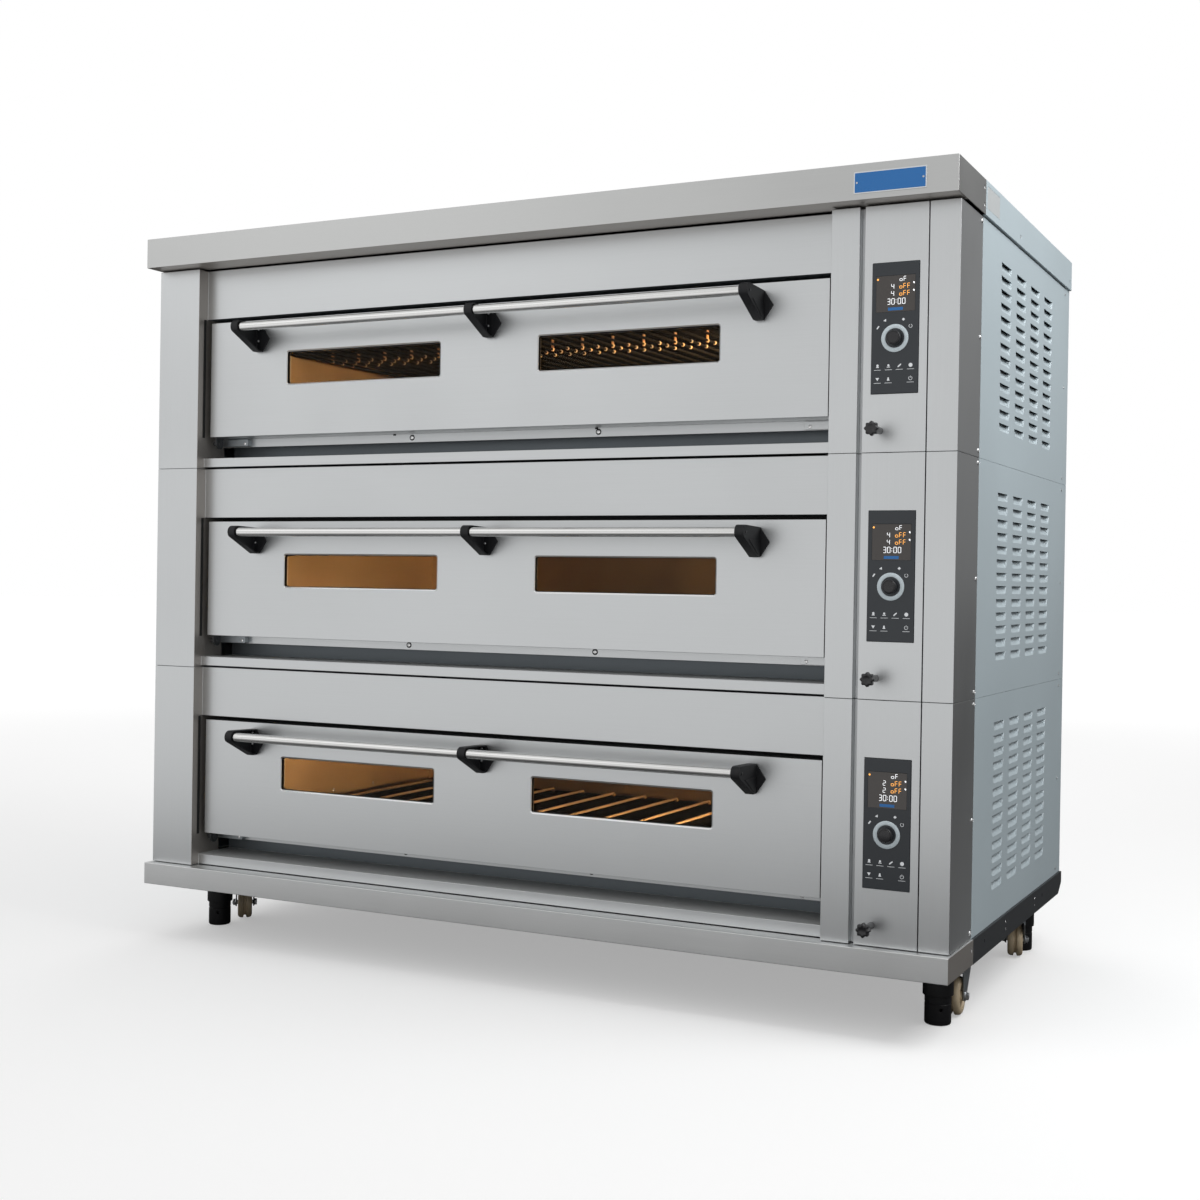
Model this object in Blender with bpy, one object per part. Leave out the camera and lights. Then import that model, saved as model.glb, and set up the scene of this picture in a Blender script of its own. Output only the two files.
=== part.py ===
"""Three-deck bakery oven with drop-down doors, on casters and levelling feet. Metres, +Z up."""

import math

import bmesh
import bpy
import numpy as np
from mathutils import Matrix, Vector

# Running gap between neighbouring pieces, and sheet gauges
CLEAR = 0.0003
SHEET = 0.002
PANEL_SHEET = 0.0015

# Body
FRONT_WIDTH = 1.870
BODY_DEPTH = 1.009
RETURN_DEPTH = 0.161
REAR_STRIP = 0.043
OVERHANG = 0.005
DECK_PITCH = 0.455
DECK_NAMES = ("lower", "middle", "upper")

# Cap and base
CAP_REACH = 0.041
CAP_HEIGHT = 0.066
CAP_SHADOW = 0.003
CAP_UNDER = 0.015
COVER_FLANGE = 0.035
BASE_BOTTOM = 0.120
BASE_HEIGHT = 0.048
BASE_REACH = 0.022
BASE_LEDGE = 0.012
RAIL_WALL = 0.004
RAIL_TOP_FLANGE = 0.030
RAIL_FOOT_FLANGE = 0.112
REAR_BEAM_INSET = 0.040
RAIL_CHAMFER_RUN = 0.034
RAIL_CHAMFER_RISE = 0.022

# Front frame of one deck
POST_WIDTH = 0.115
MULLION_WIDTH = 0.055
GROOVE_WIDTH = 0.010
GROOVE_DEPTH = 0.020
CONTROL_COLUMN = 0.179
DOOR_RECESS = 0.030
FACE_DEPTH = 0.094
SILL_SETBACK = 0.024
SILL_BOTTOM = 0.0035
SILL_TOP = 0.024
SILL_RUN_BACK = 0.040
HINGE_PLATE_START = 0.003
HINGE_PLATE_WIDTH = 0.110
HINGE_PLATE_RISE = 0.0475
HINGE_PLATE_DEPTH = 0.014

# Door
DOOR_BOTTOM = 0.073
DOOR_HEIGHT = 0.261
DOOR_DEPTH = 0.060
DOOR_SIDE_GAP = 0.0115
DOOR_TOP_GAP = 0.009
DOOR_RIM = 0.030
PIVOT_DEPTH = 0.060
PIVOT_DROP = 0.013
PIN_RADIUS = 0.0047
PIN_REACH = 0.004
EAR_HALF = 0.012
EAR_THICKNESS = 0.004
WINDOW_OFFSET = 0.3215
WINDOW_WIDTH = 0.404
WINDOW_HEIGHT = 0.0725
WINDOW_RISE = 0.114
WINDOW_REVEAL = 0.010
GLASS_THICKNESS = 0.004
GLASS_LAP = 0.014

# Handle
BAR_RADIUS = 0.0095
BAR_STANDOFF = 0.078
BAR_DROP = 0.0265
BAR_END_INSET = 0.1495
BRACKET_WIDTH = 0.0185
BRACKET_NOSE = 0.014
BRACKET_DROP = 0.048
BRACKET_FOOT = 0.014
BRACKET_RISE = 0.012
SOCKET_DEPTH = 0.009

# Baking chamber and heating tubes
CHAMBER_FACE_RISE = 0.054
CHAMBER_LAP = 0.012
CAVITY_INSET = 0.030
CAVITY_FLOOR = 0.084
CAVITY_HEIGHT = 0.231
CAVITY_DEPTH = 0.850
CHAMBER_WALL = 0.003
TUBE_RADIUS = 0.0045
TUBE_PITCH = 0.078
TUBE_COUNT = 18
TUBE_FRONT_GAP = 0.060
TUBE_BACK_GAP = 0.060
TUBE_FLOOR_RISE = 0.016
TUBE_CEILING_DROP = 0.030
TUBE_SIDES = 5

# Louvred side panel
LOUVRE_COLUMNS = 4
LOUVRE_ROWS = 13
LOUVRE_LENGTH = 0.089
LOUVRE_COLUMN_PITCH = 0.136
LOUVRE_ROW_PITCH = 0.0264
LOUVRE_HEIGHT = 0.016
LOUVRE_DEPTH = 0.006
LOUVRE_END_SLOPE = 0.009
LOUVRE_START = 0.157
LOUVRE_RISE = 0.066

# Control panel and knobs
PANEL_EDGE = 0.119
PANEL_WIDTH = 0.088
PANEL_HEIGHT = 0.240
PANEL_RISE = 0.108
PANEL_PROUD = 0.0015
PANEL_BODY_DEPTH = 0.028
DISPLAY_WIDTH = 0.074
DISPLAY_HEIGHT = 0.067
DISPLAY_RISE = 0.149
DISPLAY_DEPTH = 0.0015
ENCODER_RISE = 0.101
ENCODER_RADIUS = 0.0135
ENCODER_LENGTH = 0.013
ENCODER_SHAFT = 0.003
ENCODER_SHAFT_LENGTH = 0.012
RING_INNER = 0.018
RING_OUTER = 0.0255
RING_PROUD = 0.001
DAMPER_EDGE = 0.145
DAMPER_RISE = 0.040
DAMPER_REACH = 0.056
DAMPER_HEAD = 0.015
DAMPER_RADIUS = 0.0125
DAMPER_LOBE = 0.0012
DAMPER_LOBES = 8
DAMPER_NECK = 0.0065
DAMPER_ROD = 0.004
DAMPER_ROD_INSIDE = 0.075

# Levelling feet and casters
FOOT_EDGE = 0.062
FOOT_FROM_FRONT = 0.165
FOOT_FROM_REAR = 0.119
FOOT_RADIUS = 0.0255
FOOT_SLEEVE = 0.030
FOOT_STEM = 0.010
FOOT_STEM_UP = 0.036
CASTER_EDGE = 0.052
CASTER_FROM_FRONT = 0.270
CASTER_FROM_REAR = 0.224
CASTER_TRAIL = 0.028
CASTER_PAD = 0.032
CASTER_PAD_THICKNESS = 0.004
CASTER_HEAD = 0.022
CASTER_CROWN = 0.0035
WHEEL_RADIUS = 0.0375
WHEEL_WIDTH = 0.034
WHEEL_GROOVE = 0.004
WHEEL_FLOOR_GAP = 0.001
WHEEL_SIDE_GAP = 0.002
WHEEL_TOP_GAP = 0.009
FORK_SHEET = 0.003
AXLE_RADIUS = 0.005
AXLE_END = 0.008
ROUND_SEGMENTS = 16
PIN_SEGMENTS = 12

# Derived levels and planes
HALF = FRONT_WIDTH / 2
WIDE = HALF + OVERHANG
NOSE_REACH = BAR_STANDOFF + BRACKET_NOSE - DOOR_RECESS
Y_FRONT = (NOSE_REACH - BODY_DEPTH) / 2
Y_BACK = Y_FRONT + BODY_DEPTH
Y_RETURN = Y_FRONT + RETURN_DEPTH
Y_DOOR = Y_FRONT + DOOR_RECESS
Y_FACE = Y_FRONT + FACE_DEPTH
Y_PIVOT = Y_FRONT + PIVOT_DEPTH
Z_BASE = BASE_BOTTOM + BASE_HEIGHT
Z_BODY = Z_BASE + DECK_PITCH * len(DECK_NAMES)
Z_CAP = Z_BODY + CAP_SHADOW
Z_TOP = Z_CAP + CAP_HEIGHT
X_JAMB_LEFT = -HALF + POST_WIDTH
X_COLUMN = HALF - CONTROL_COLUMN
X_MULLION = X_COLUMN - GROOVE_WIDTH
X_JAMB_RIGHT = X_MULLION - MULLION_WIDTH
X_DOOR_MID = (X_JAMB_LEFT + X_JAMB_RIGHT) / 2
DOOR_HALF = (X_JAMB_RIGHT - X_JAMB_LEFT) / 2 - DOOR_SIDE_GAP
BAR_HALF_LENGTH = DOOR_HALF - BAR_END_INSET
X_PANEL = HALF - PANEL_EDGE
X_DAMPER = HALF - DAMPER_EDGE
Z_AXLE = WHEEL_RADIUS + WHEEL_FLOOR_GAP
FOOT_TOP = BASE_BOTTOM - CLEAR

STAINLESS = ("stainless", (0.62, 0.63, 0.63), 0.32, 1.0)
PAINT = ("grey_paint", (0.40, 0.45, 0.47), 0.5, 0.0)
BASE_PAINT = ("dark_paint", (0.055, 0.06, 0.065), 0.55, 0.0)
CHAMBER_STEEL = ("chamber_steel", (0.30, 0.24, 0.18), 0.5, 1.0)
TUBE_STEEL = ("tube_steel", (0.20, 0.17, 0.14), 0.5, 1.0)
BAR_STEEL = ("bar_steel", (0.75, 0.75, 0.74), 0.25, 1.0)
BLACK_PLASTIC = ("black_plastic", (0.012, 0.012, 0.013), 0.45, 0.0)
PANEL_PLASTIC = ("panel_plastic", (0.04, 0.046, 0.052), 0.4, 0.0)
PANE_GLASS = ("pane_glass", (0.42, 0.30, 0.20), 0.05, 0.0)
ZINC = ("zinc", (0.48, 0.49, 0.50), 0.38, 1.0)
NYLON = ("nylon", (0.24, 0.19, 0.12), 0.6, 0.0)


def box(x0, x1, y0, y1, z0, z1):
    """Axis-aligned box as its two corners."""
    return ((x0, y0, z0), (x1, y1, z1))


def grid_mesh(boxes, cuts=()):
    """Union of boxes less the cuts, as vertices and outward faces."""
    lines = []
    for axis in range(3):
        values = {round(corner[axis], 7) for item in (*boxes, *cuts) for corner in item}
        lines.append(sorted(values))
    index = [{value: n for n, value in enumerate(line)} for line in lines]
    filled = np.zeros([len(line) + 1 for line in lines], dtype=bool)
    for items, state in ((boxes, True), (cuts, False)):
        for low, high in items:
            span = []
            for axis in range(3):
                start = index[axis][round(low[axis], 7)] + 1
                stop = index[axis][round(high[axis], 7)] + 1
                span.append(slice(start, stop))
            filled[tuple(span)] = state
    vertices = []
    faces = []
    known = {}

    def corner(cell):
        if cell not in known:
            known[cell] = len(vertices)
            vertices.append(tuple(lines[axis][cell[axis] - 1] for axis in range(3)))
        return known[cell]

    for axis in range(3):
        first, second = [(1, 2), (2, 0), (0, 1)][axis]
        edge = np.diff(filled.astype(np.int8), axis=axis)
        for cell in zip(*np.nonzero(edge)):
            rising = edge[cell] > 0
            base = [int(value) for value in cell]
            base[axis] += 1
            ring = []
            for step_first, step_second in ((0, 0), (1, 0), (1, 1), (0, 1)):
                point = list(base)
                point[first] += step_first
                point[second] += step_second
                ring.append(corner(tuple(point)))
            faces.append(tuple(reversed(ring)) if rising else tuple(ring))
    return vertices, faces


def prism_mesh(outline, low, high, axis):
    """Outline extruded along axis; outline runs in the two following axes."""
    first, second = [(1, 2), (2, 0), (0, 1)][axis]
    vertices = []
    for level in (low, high):
        for a, b in outline:
            point = [0.0, 0.0, 0.0]
            point[axis] = level
            point[first] = a
            point[second] = b
            vertices.append(tuple(point))
    count = len(outline)
    faces = [tuple(range(count - 1, -1, -1)), tuple(range(count, 2 * count))]
    for n in range(count):
        after = (n + 1) % count
        faces.append((n, after, count + after, count + n))
    return vertices, faces


def turned_mesh(profile, axis, sign=1.0, segments=ROUND_SEGMENTS, closed=False, lobes=0):
    """Profile of (radius, height, lobe) turned about axis, heights measured along sign * axis."""
    first, second = [(1, 2), (2, 0), (0, 1)][axis]
    vertices = []
    faces = []
    rings = []
    for radius, height, lobe in profile:
        point = [0.0, 0.0, 0.0]
        point[axis] = sign * height
        if radius == 0.0:
            rings.append([len(vertices)])
            vertices.append(tuple(point))
            continue
        ring = []
        for n in range(segments):
            angle = 2 * math.pi * n / segments
            reach = radius + lobe * math.cos(lobes * angle)
            spot = list(point)
            spot[first] = reach * math.cos(angle)
            spot[second] = reach * math.sin(angle)
            ring.append(len(vertices))
            vertices.append(tuple(spot))
        rings.append(ring)
    pairs = list(zip(rings, rings[1:]))
    if closed:
        pairs.append((rings[-1], rings[0]))
    for below, above in pairs:
        for n in range(segments):
            after = (n + 1) % segments
            if len(below) == 1:
                faces.append((below[0], above[after], above[n]))
            elif len(above) == 1:
                faces.append((below[n], below[after], above[0]))
            else:
                faces.append((below[n], below[after], above[after], above[n]))
    if sign < 0:
        faces = [tuple(reversed(face)) for face in faces]
    return vertices, faces


def tube_mesh(path, radius, sides):
    """Tube with mitred corners along a path that lies in a level plane."""
    vertices = []
    faces = []
    count = len(path)
    for n, point in enumerate(path):
        before = (point - path[n - 1]).normalized() if n else None
        after = (path[n + 1] - point).normalized() if n + 1 < count else None
        if before is None:
            along = after
            stretch = 1.0
        elif after is None:
            along = before
            stretch = 1.0
        else:
            along = (before + after).normalized()
            stretch = 1 / max(along.dot(after), 0.3)
        side = Vector((along.y, -along.x, 0.0))
        for k in range(sides):
            angle = 2 * math.pi * (k + 0.5) / sides
            offset = side * (radius * stretch * math.cos(angle))
            spot = point + offset + Vector((0.0, 0.0, radius * math.sin(angle)))
            vertices.append(tuple(spot))
    for n in range(count - 1):
        for k in range(sides):
            after = (k + 1) % sides
            low = n * sides
            high = low + sides
            faces.append((low + k, high + k, high + after, low + after))
    faces.append(tuple(range(sides)))
    last = (count - 1) * sides
    faces.append(tuple(last + k for k in reversed(range(sides))))
    return vertices, faces


def material_of(name, finish):
    """Principled material of one node."""
    _, colour, roughness, metallic = finish
    material = bpy.data.materials.new(name)
    material.use_nodes = True
    shader = material.node_tree.nodes["Principled BSDF"]
    shader.inputs["Base Color"].default_value = (*colour, 1.0)
    shader.inputs["Roughness"].default_value = roughness
    shader.inputs["Metallic"].default_value = metallic
    return material


def mesh_of(name, mesh, origin):
    """Blender mesh about its origin, coplanar faces merged and normals outward."""
    vertices, faces = mesh
    data = bpy.data.meshes.new(name)
    data.from_pydata(vertices, [], faces)
    work = bmesh.new()
    work.from_mesh(data)
    bmesh.ops.translate(work, verts=work.verts, vec=-Vector(origin))
    bmesh.ops.recalc_face_normals(work, faces=work.faces)
    bmesh.ops.dissolve_limit(work, angle_limit=0.002, verts=work.verts, edges=work.edges)
    work.to_mesh(data)
    work.free()
    return data


def add_node(name, mesh, finish, origin=(0.0, 0.0, 0.0), round_piece=False):
    """One named piece with its own material."""
    data = mesh_of(name, mesh, origin)
    data.materials.append(material_of(name, finish))
    node = bpy.data.objects.new(name, data)
    node.location = origin
    bpy.context.scene.collection.objects.link(node)
    if round_piece:
        data.shade_smooth()
        data.set_sharp_from_angle(angle=math.radians(35))
    return node


def combine(node, name, mesh, operation, origin=(0.0, 0.0, 0.0)):
    """Cut or join a tool shape with an exact boolean."""
    data = mesh_of(name, mesh, (0.0, 0.0, 0.0))
    tool = bpy.data.objects.new(name, data)
    tool.location = origin
    tool.hide_render = True
    tool.display_type = "WIRE"
    bpy.context.scene.collection.objects.link(tool)
    modifier = node.modifiers.new(name, "BOOLEAN")
    modifier.object = tool
    modifier.operation = operation
    modifier.solver = "EXACT"
    return tool


def rod_mesh(radius, low, high, axis, segments=ROUND_SEGMENTS):
    """Plain round rod along axis from low to high."""
    profile = ((0.0, low, 0.0), (radius, low, 0.0), (radius, high, 0.0), (0.0, high, 0.0))
    return turned_mesh(profile, axis, segments=segments)


def deck_level(deck):
    """Height of a deck's lower seam."""
    return Z_BASE + deck * DECK_PITCH


def mirrored(x_low, x_high):
    """The x spans of a feature and its mirror image."""
    return ((x_low, x_high), (-x_high, -x_low))


def build_cap():
    """Stainless front band and painted cover on top of the body."""
    y_band = Y_FRONT - CAP_REACH
    band = [
        box(-WIDE, WIDE, y_band, Y_RETURN, Z_TOP - SHEET, Z_TOP),
        box(-WIDE, WIDE, y_band, y_band + SHEET, Z_CAP, Z_TOP),
        box(-WIDE, WIDE, y_band, Y_FRONT + CAP_UNDER, Z_CAP, Z_CAP + SHEET),
    ]
    y_cover = Y_RETURN + CLEAR
    cover = [
        box(-WIDE, WIDE, y_cover, Y_BACK, Z_TOP - SHEET, Z_TOP),
        box(-WIDE, WIDE, Y_BACK - SHEET, Y_BACK, Z_CAP, Z_TOP),
        box(-WIDE, WIDE, Y_BACK - COVER_FLANGE, Y_BACK, Z_CAP, Z_CAP + SHEET),
    ]
    for x0, x1 in mirrored(WIDE - SHEET, WIDE):
        band.append(box(x0, x1, y_band, Y_RETURN, Z_CAP, Z_TOP))
        cover.append(box(x0, x1, y_cover, Y_BACK, Z_CAP, Z_TOP))
    for x0, x1 in mirrored(WIDE - COVER_FLANGE, WIDE):
        cover.append(box(x0, x1, y_cover, Y_BACK, Z_CAP, Z_CAP + SHEET))
    add_node("cap_front", grid_mesh(band), STAINLESS)
    add_node("top_cover", grid_mesh(cover), PAINT)


def support_spots(edge, from_front, from_rear):
    """Plan positions of four supports, named by corner."""
    x = HALF - edge
    y_near = Y_FRONT + from_front
    y_far = Y_BACK - from_rear
    return (
        ("front_left", -x, y_near),
        ("front_right", x, y_near),
        ("rear_left", -x, y_far),
        ("rear_right", x, y_far),
    )


def build_base():
    """Stainless front band and the dark rail frame that carries everything."""
    y_band = Y_FRONT - BASE_REACH
    band = [
        box(-WIDE, WIDE, y_band, y_band + SHEET, BASE_BOTTOM, Z_BASE),
        box(-WIDE, WIDE, y_band, Y_FRONT + BASE_LEDGE, Z_BASE - SHEET, Z_BASE),
    ]
    for x0, x1 in mirrored(WIDE - SHEET, WIDE):
        band.append(box(x0, x1, y_band, Y_RETURN, BASE_BOTTOM, Z_BASE))
    for x0, x1 in mirrored(HALF - BASE_LEDGE, WIDE):
        band.append(box(x0, x1, y_band, Y_RETURN, Z_BASE - SHEET, Z_BASE))
    add_node("base_front", grid_mesh(band), STAINLESS)

    y_rail = Y_RETURN + CLEAR
    y_inner = y_band + SHEET + CLEAR
    x_inner = WIDE - SHEET - CLEAR
    z_inner = Z_BASE - SHEET - CLEAR
    y_beam = Y_BACK - REAR_BEAM_INSET
    z_flange = BASE_BOTTOM + RAIL_WALL
    rails = [
        box(-x_inner, x_inner, y_inner, y_inner + RAIL_WALL, BASE_BOTTOM, z_inner),
        box(-x_inner, x_inner, y_inner, y_beam, BASE_BOTTOM, BASE_BOTTOM + SHEET),
        box(-WIDE, WIDE, y_beam - RAIL_WALL, y_beam, BASE_BOTTOM, Z_BASE),
        box(-WIDE, WIDE, y_beam - RAIL_WALL, Y_BACK, Z_BASE - RAIL_WALL, Z_BASE),
    ]
    for x0, x1 in mirrored(x_inner - RAIL_FOOT_FLANGE, x_inner):
        rails.append(box(x0, x1, y_inner, y_beam, BASE_BOTTOM, z_flange))
    for x0, x1 in mirrored(x_inner - RAIL_WALL, x_inner):
        rails.append(box(x0, x1, y_inner, y_beam, BASE_BOTTOM, z_inner))
    for x0, x1 in mirrored(x_inner - RAIL_WALL, WIDE):
        rails.append(box(x0, x1, y_rail, Y_BACK, BASE_BOTTOM, Z_BASE))
    for x0, x1 in mirrored(WIDE - RAIL_TOP_FLANGE, WIDE):
        rails.append(box(x0, x1, y_rail, Y_BACK, Z_BASE - RAIL_WALL, Z_BASE))
    z_pad = BASE_BOTTOM - CASTER_PAD_THICKNESS
    for _, x, y in support_spots(CASTER_EDGE, CASTER_FROM_FRONT, CASTER_FROM_REAR):
        pad = box(x - CASTER_PAD, x + CASTER_PAD, y - CASTER_PAD, y + CASTER_PAD, z_pad, z_flange)
        rails.append(pad)
    frame = add_node("base_frame", grid_mesh(rails), BASE_PAINT)
    for corner, x, y in support_spots(FOOT_EDGE, FOOT_FROM_FRONT, FOOT_FROM_REAR):
        hole = rod_mesh(FOOT_STEM + CLEAR, -RAIL_WALL, 2 * RAIL_WALL, 2)
        combine(frame, f"cut_stem_{corner}", hole, "DIFFERENCE", (x, y, BASE_BOTTOM))
    wedge = (
        (Y_BACK - RAIL_CHAMFER_RUN, BASE_BOTTOM),
        (Y_BACK - RAIL_CHAMFER_RUN, BASE_BOTTOM - RAIL_WALL),
        (Y_BACK + RAIL_WALL, BASE_BOTTOM - RAIL_WALL),
        (Y_BACK + RAIL_WALL, BASE_BOTTOM + RAIL_CHAMFER_RISE),
        (Y_BACK, BASE_BOTTOM + RAIL_CHAMFER_RISE),
    )
    combine(frame, "cut_rear_corner", prism_mesh(wedge, -WIDE - SHEET, WIDE + SHEET, 0), "DIFFERENCE")


def build_casing():
    """Painted left side, back and right rear strip in one folded sheet."""
    z0 = Z_BASE + CLEAR
    z1 = Z_CAP - CLEAR
    y_side = Y_RETURN + CLEAR
    walls = [
        box(-HALF, -HALF + SHEET, y_side, Y_BACK, z0, z1),
        box(-HALF, HALF, Y_BACK - SHEET, Y_BACK, z0, z1),
        box(HALF - SHEET, HALF, Y_BACK - REAR_STRIP, Y_BACK, z0, z1),
    ]
    add_node("casing", grid_mesh(walls), PAINT)


def hinge_axis(deck):
    """Height of a deck's door pivot."""
    return deck_level(deck) + DOOR_BOTTOM - PIVOT_DROP


def build_front_frame(deck, prefix):
    """Posts, fascia, sill, mullion and control column of one deck."""
    seam = deck_level(deck)
    z0 = seam + CLEAR
    z1 = seam + DECK_PITCH
    fascia = seam + DOOR_BOTTOM + DOOR_HEIGHT + DOOR_TOP_GAP
    left = X_JAMB_LEFT - SHEET
    right = X_JAMB_RIGHT + SHEET
    y_skin = Y_FRONT + SHEET
    y_groove = Y_FRONT + GROOVE_DEPTH
    y_sill = Y_FRONT + SILL_SETBACK
    z_sill = seam + SILL_TOP
    y_riser = Y_FACE + SILL_RUN_BACK
    z_riser = seam + CAVITY_FLOOR - CHAMBER_WALL - CLEAR
    sheets = [
        box(-HALF, X_JAMB_LEFT, Y_FRONT, y_skin, z0, z1),
        box(-HALF, -HALF + SHEET, Y_FRONT, Y_RETURN, z0, z1),
        box(left, X_JAMB_LEFT, Y_FRONT, Y_FACE, z0, z1),
        box(X_JAMB_RIGHT, right, Y_FRONT, Y_FACE, z0, z1),
        box(X_JAMB_RIGHT, X_MULLION, Y_FRONT, y_skin, z0, z1),
        box(X_MULLION - SHEET, X_MULLION, Y_FRONT, y_groove, z0, z1),
        box(X_MULLION - SHEET, X_COLUMN + SHEET, y_groove - SHEET, y_groove, z0, z1),
        box(X_COLUMN, X_COLUMN + SHEET, Y_FRONT, y_groove, z0, z1),
        box(X_COLUMN, HALF, Y_FRONT, y_skin, z0, z1),
        box(HALF - SHEET, HALF, Y_FRONT, Y_RETURN, z0, z1),
        box(left, right, Y_DOOR, Y_DOOR + SHEET, fascia, z1),
        box(left, right, Y_DOOR, Y_FACE, fascia, fascia + SHEET),
        box(left, right, Y_DOOR, Y_FACE, z1 - SHEET, z1),
        box(left, right, y_sill, y_sill + SHEET, seam + SILL_BOTTOM, z_sill),
        box(left, right, y_sill, y_riser, z_sill - SHEET, z_sill),
        box(left, right, y_riser - SHEET, y_riser, z_sill - SHEET, z_riser),
    ]
    plate_end = HINGE_PLATE_START + HINGE_PLATE_WIDTH
    hinge_spans = (
        (X_JAMB_LEFT + HINGE_PLATE_START, X_JAMB_LEFT + plate_end),
        (X_JAMB_RIGHT - plate_end, X_JAMB_RIGHT - HINGE_PLATE_START),
    )
    for x0, x1 in hinge_spans:
        low = z_sill - SHEET
        high = z_sill + HINGE_PLATE_RISE
        sheets.append(box(x0, x1, Y_FACE - HINGE_PLATE_DEPTH, Y_FACE, low, high))
    reach = PANEL_WIDTH / 2 + CLEAR
    z_panel = seam + PANEL_RISE
    window = box(
        X_PANEL - reach,
        X_PANEL + reach,
        Y_FRONT,
        y_skin,
        z_panel - CLEAR,
        z_panel + PANEL_HEIGHT + CLEAR,
    )
    frame = add_node(f"{prefix}_front_frame", grid_mesh(sheets, [window]), STAINLESS)
    bore = rod_mesh(PIN_RADIUS + CLEAR, -2 * SHEET, SHEET, 0, PIN_SEGMENTS)
    spot = (X_JAMB_LEFT, Y_PIVOT, hinge_axis(deck))
    combine(frame, f"cut_{prefix}_pin_left", bore, "DIFFERENCE", spot)
    bore = rod_mesh(PIN_RADIUS + CLEAR, -SHEET, 2 * SHEET, 0, PIN_SEGMENTS)
    spot = (X_JAMB_RIGHT, Y_PIVOT, hinge_axis(deck))
    combine(frame, f"cut_{prefix}_pin_right", bore, "DIFFERENCE", spot)
    bore = rod_mesh(DAMPER_ROD + CLEAR, -SHEET, 2 * SHEET, 1, 2 * DAMPER_LOBES)
    spot = (X_DAMPER, Y_FRONT, seam + DAMPER_RISE)
    combine(frame, f"cut_{prefix}_damper", bore, "DIFFERENCE", spot)


def build_side_panel(deck, prefix):
    """Painted right side panel with louvres pressed inward, open along their top edges."""
    seam = deck_level(deck)
    y0 = Y_RETURN + CLEAR
    y1 = Y_BACK - REAR_STRIP - CLEAR
    z0 = seam + CLEAR
    z1 = seam + DECK_PITCH
    y_lines = [y0]
    for column in range(LOUVRE_COLUMNS + 1):
        gap = (LOUVRE_COLUMN_PITCH - LOUVRE_LENGTH) / 2
        y_lines.append(Y_RETURN + LOUVRE_START + column * LOUVRE_COLUMN_PITCH - gap)
    y_lines.append(y1)
    z_lines = [z0]
    for row in range(LOUVRE_ROWS + 1):
        gap = (LOUVRE_ROW_PITCH - LOUVRE_HEIGHT) / 2
        z_lines.append(seam + LOUVRE_RISE + row * LOUVRE_ROW_PITCH - gap)
    z_lines.append(z1)
    work = bmesh.new()
    known = {}

    def vertex(x, y, z):
        key = (round(x, 7), round(y, 7), round(z, 7))
        if key not in known:
            known[key] = work.verts.new(key)
        return known[key]

    def face(*points):
        work.faces.new([vertex(*point) for point in points])

    for i in range(len(y_lines) - 1):
        for j in range(len(z_lines) - 1):
            ya, yb = y_lines[i], y_lines[i + 1]
            za, zb = z_lines[j], z_lines[j + 1]
            low_a, low_b = (HALF, ya, za), (HALF, yb, za)
            high_a, high_b = (HALF, ya, zb), (HALF, yb, zb)
            if not (0 < i <= LOUVRE_COLUMNS and 0 < j <= LOUVRE_ROWS):
                face(low_a, low_b, high_b, high_a)
                continue
            side = (LOUVRE_COLUMN_PITCH - LOUVRE_LENGTH) / 2
            lift = (LOUVRE_ROW_PITCH - LOUVRE_HEIGHT) / 2
            bottom_a, bottom_b = (HALF, ya + side, za + lift), (HALF, yb - side, za + lift)
            top_a, top_b = (HALF, ya + side, zb - lift), (HALF, yb - side, zb - lift)
            deep = HALF - LOUVRE_DEPTH
            lip_a = (deep, ya + side + LOUVRE_END_SLOPE, zb - lift)
            lip_b = (deep, yb - side - LOUVRE_END_SLOPE, zb - lift)
            face(low_a, low_b, bottom_b, bottom_a)
            face(low_b, high_b, top_b, bottom_b)
            face(high_b, high_a, top_a, top_b)
            face(high_a, low_a, bottom_a, top_a)
            face(bottom_a, bottom_b, lip_b, lip_a)
            face(bottom_a, lip_a, top_a)
            face(bottom_b, top_b, lip_b)
    outer = list(work.faces)
    rims = [edge for edge in work.edges if edge.is_boundary]
    back = {}
    for point in list(work.verts):
        back[point] = work.verts.new(point.co - Vector((PANEL_SHEET, 0.0, 0.0)))
    for item in outer:
        work.faces.new([back[point] for point in reversed(item.verts)])
    for edge in rims:
        loop = edge.link_loops[0]
        a = loop.vert
        b = loop.link_loop_next.vert
        work.faces.new([b, a, back[a], back[b]])
    data = bpy.data.meshes.new(f"{prefix}_side_panel")
    bmesh.ops.recalc_face_normals(work, faces=work.faces)
    bmesh.ops.dissolve_limit(work, angle_limit=0.002, verts=work.verts, edges=work.edges)
    work.to_mesh(data)
    work.free()
    data.materials.append(material_of(f"{prefix}_side_panel", PAINT))
    node = bpy.data.objects.new(f"{prefix}_side_panel", data)
    bpy.context.scene.collection.objects.link(node)


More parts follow.
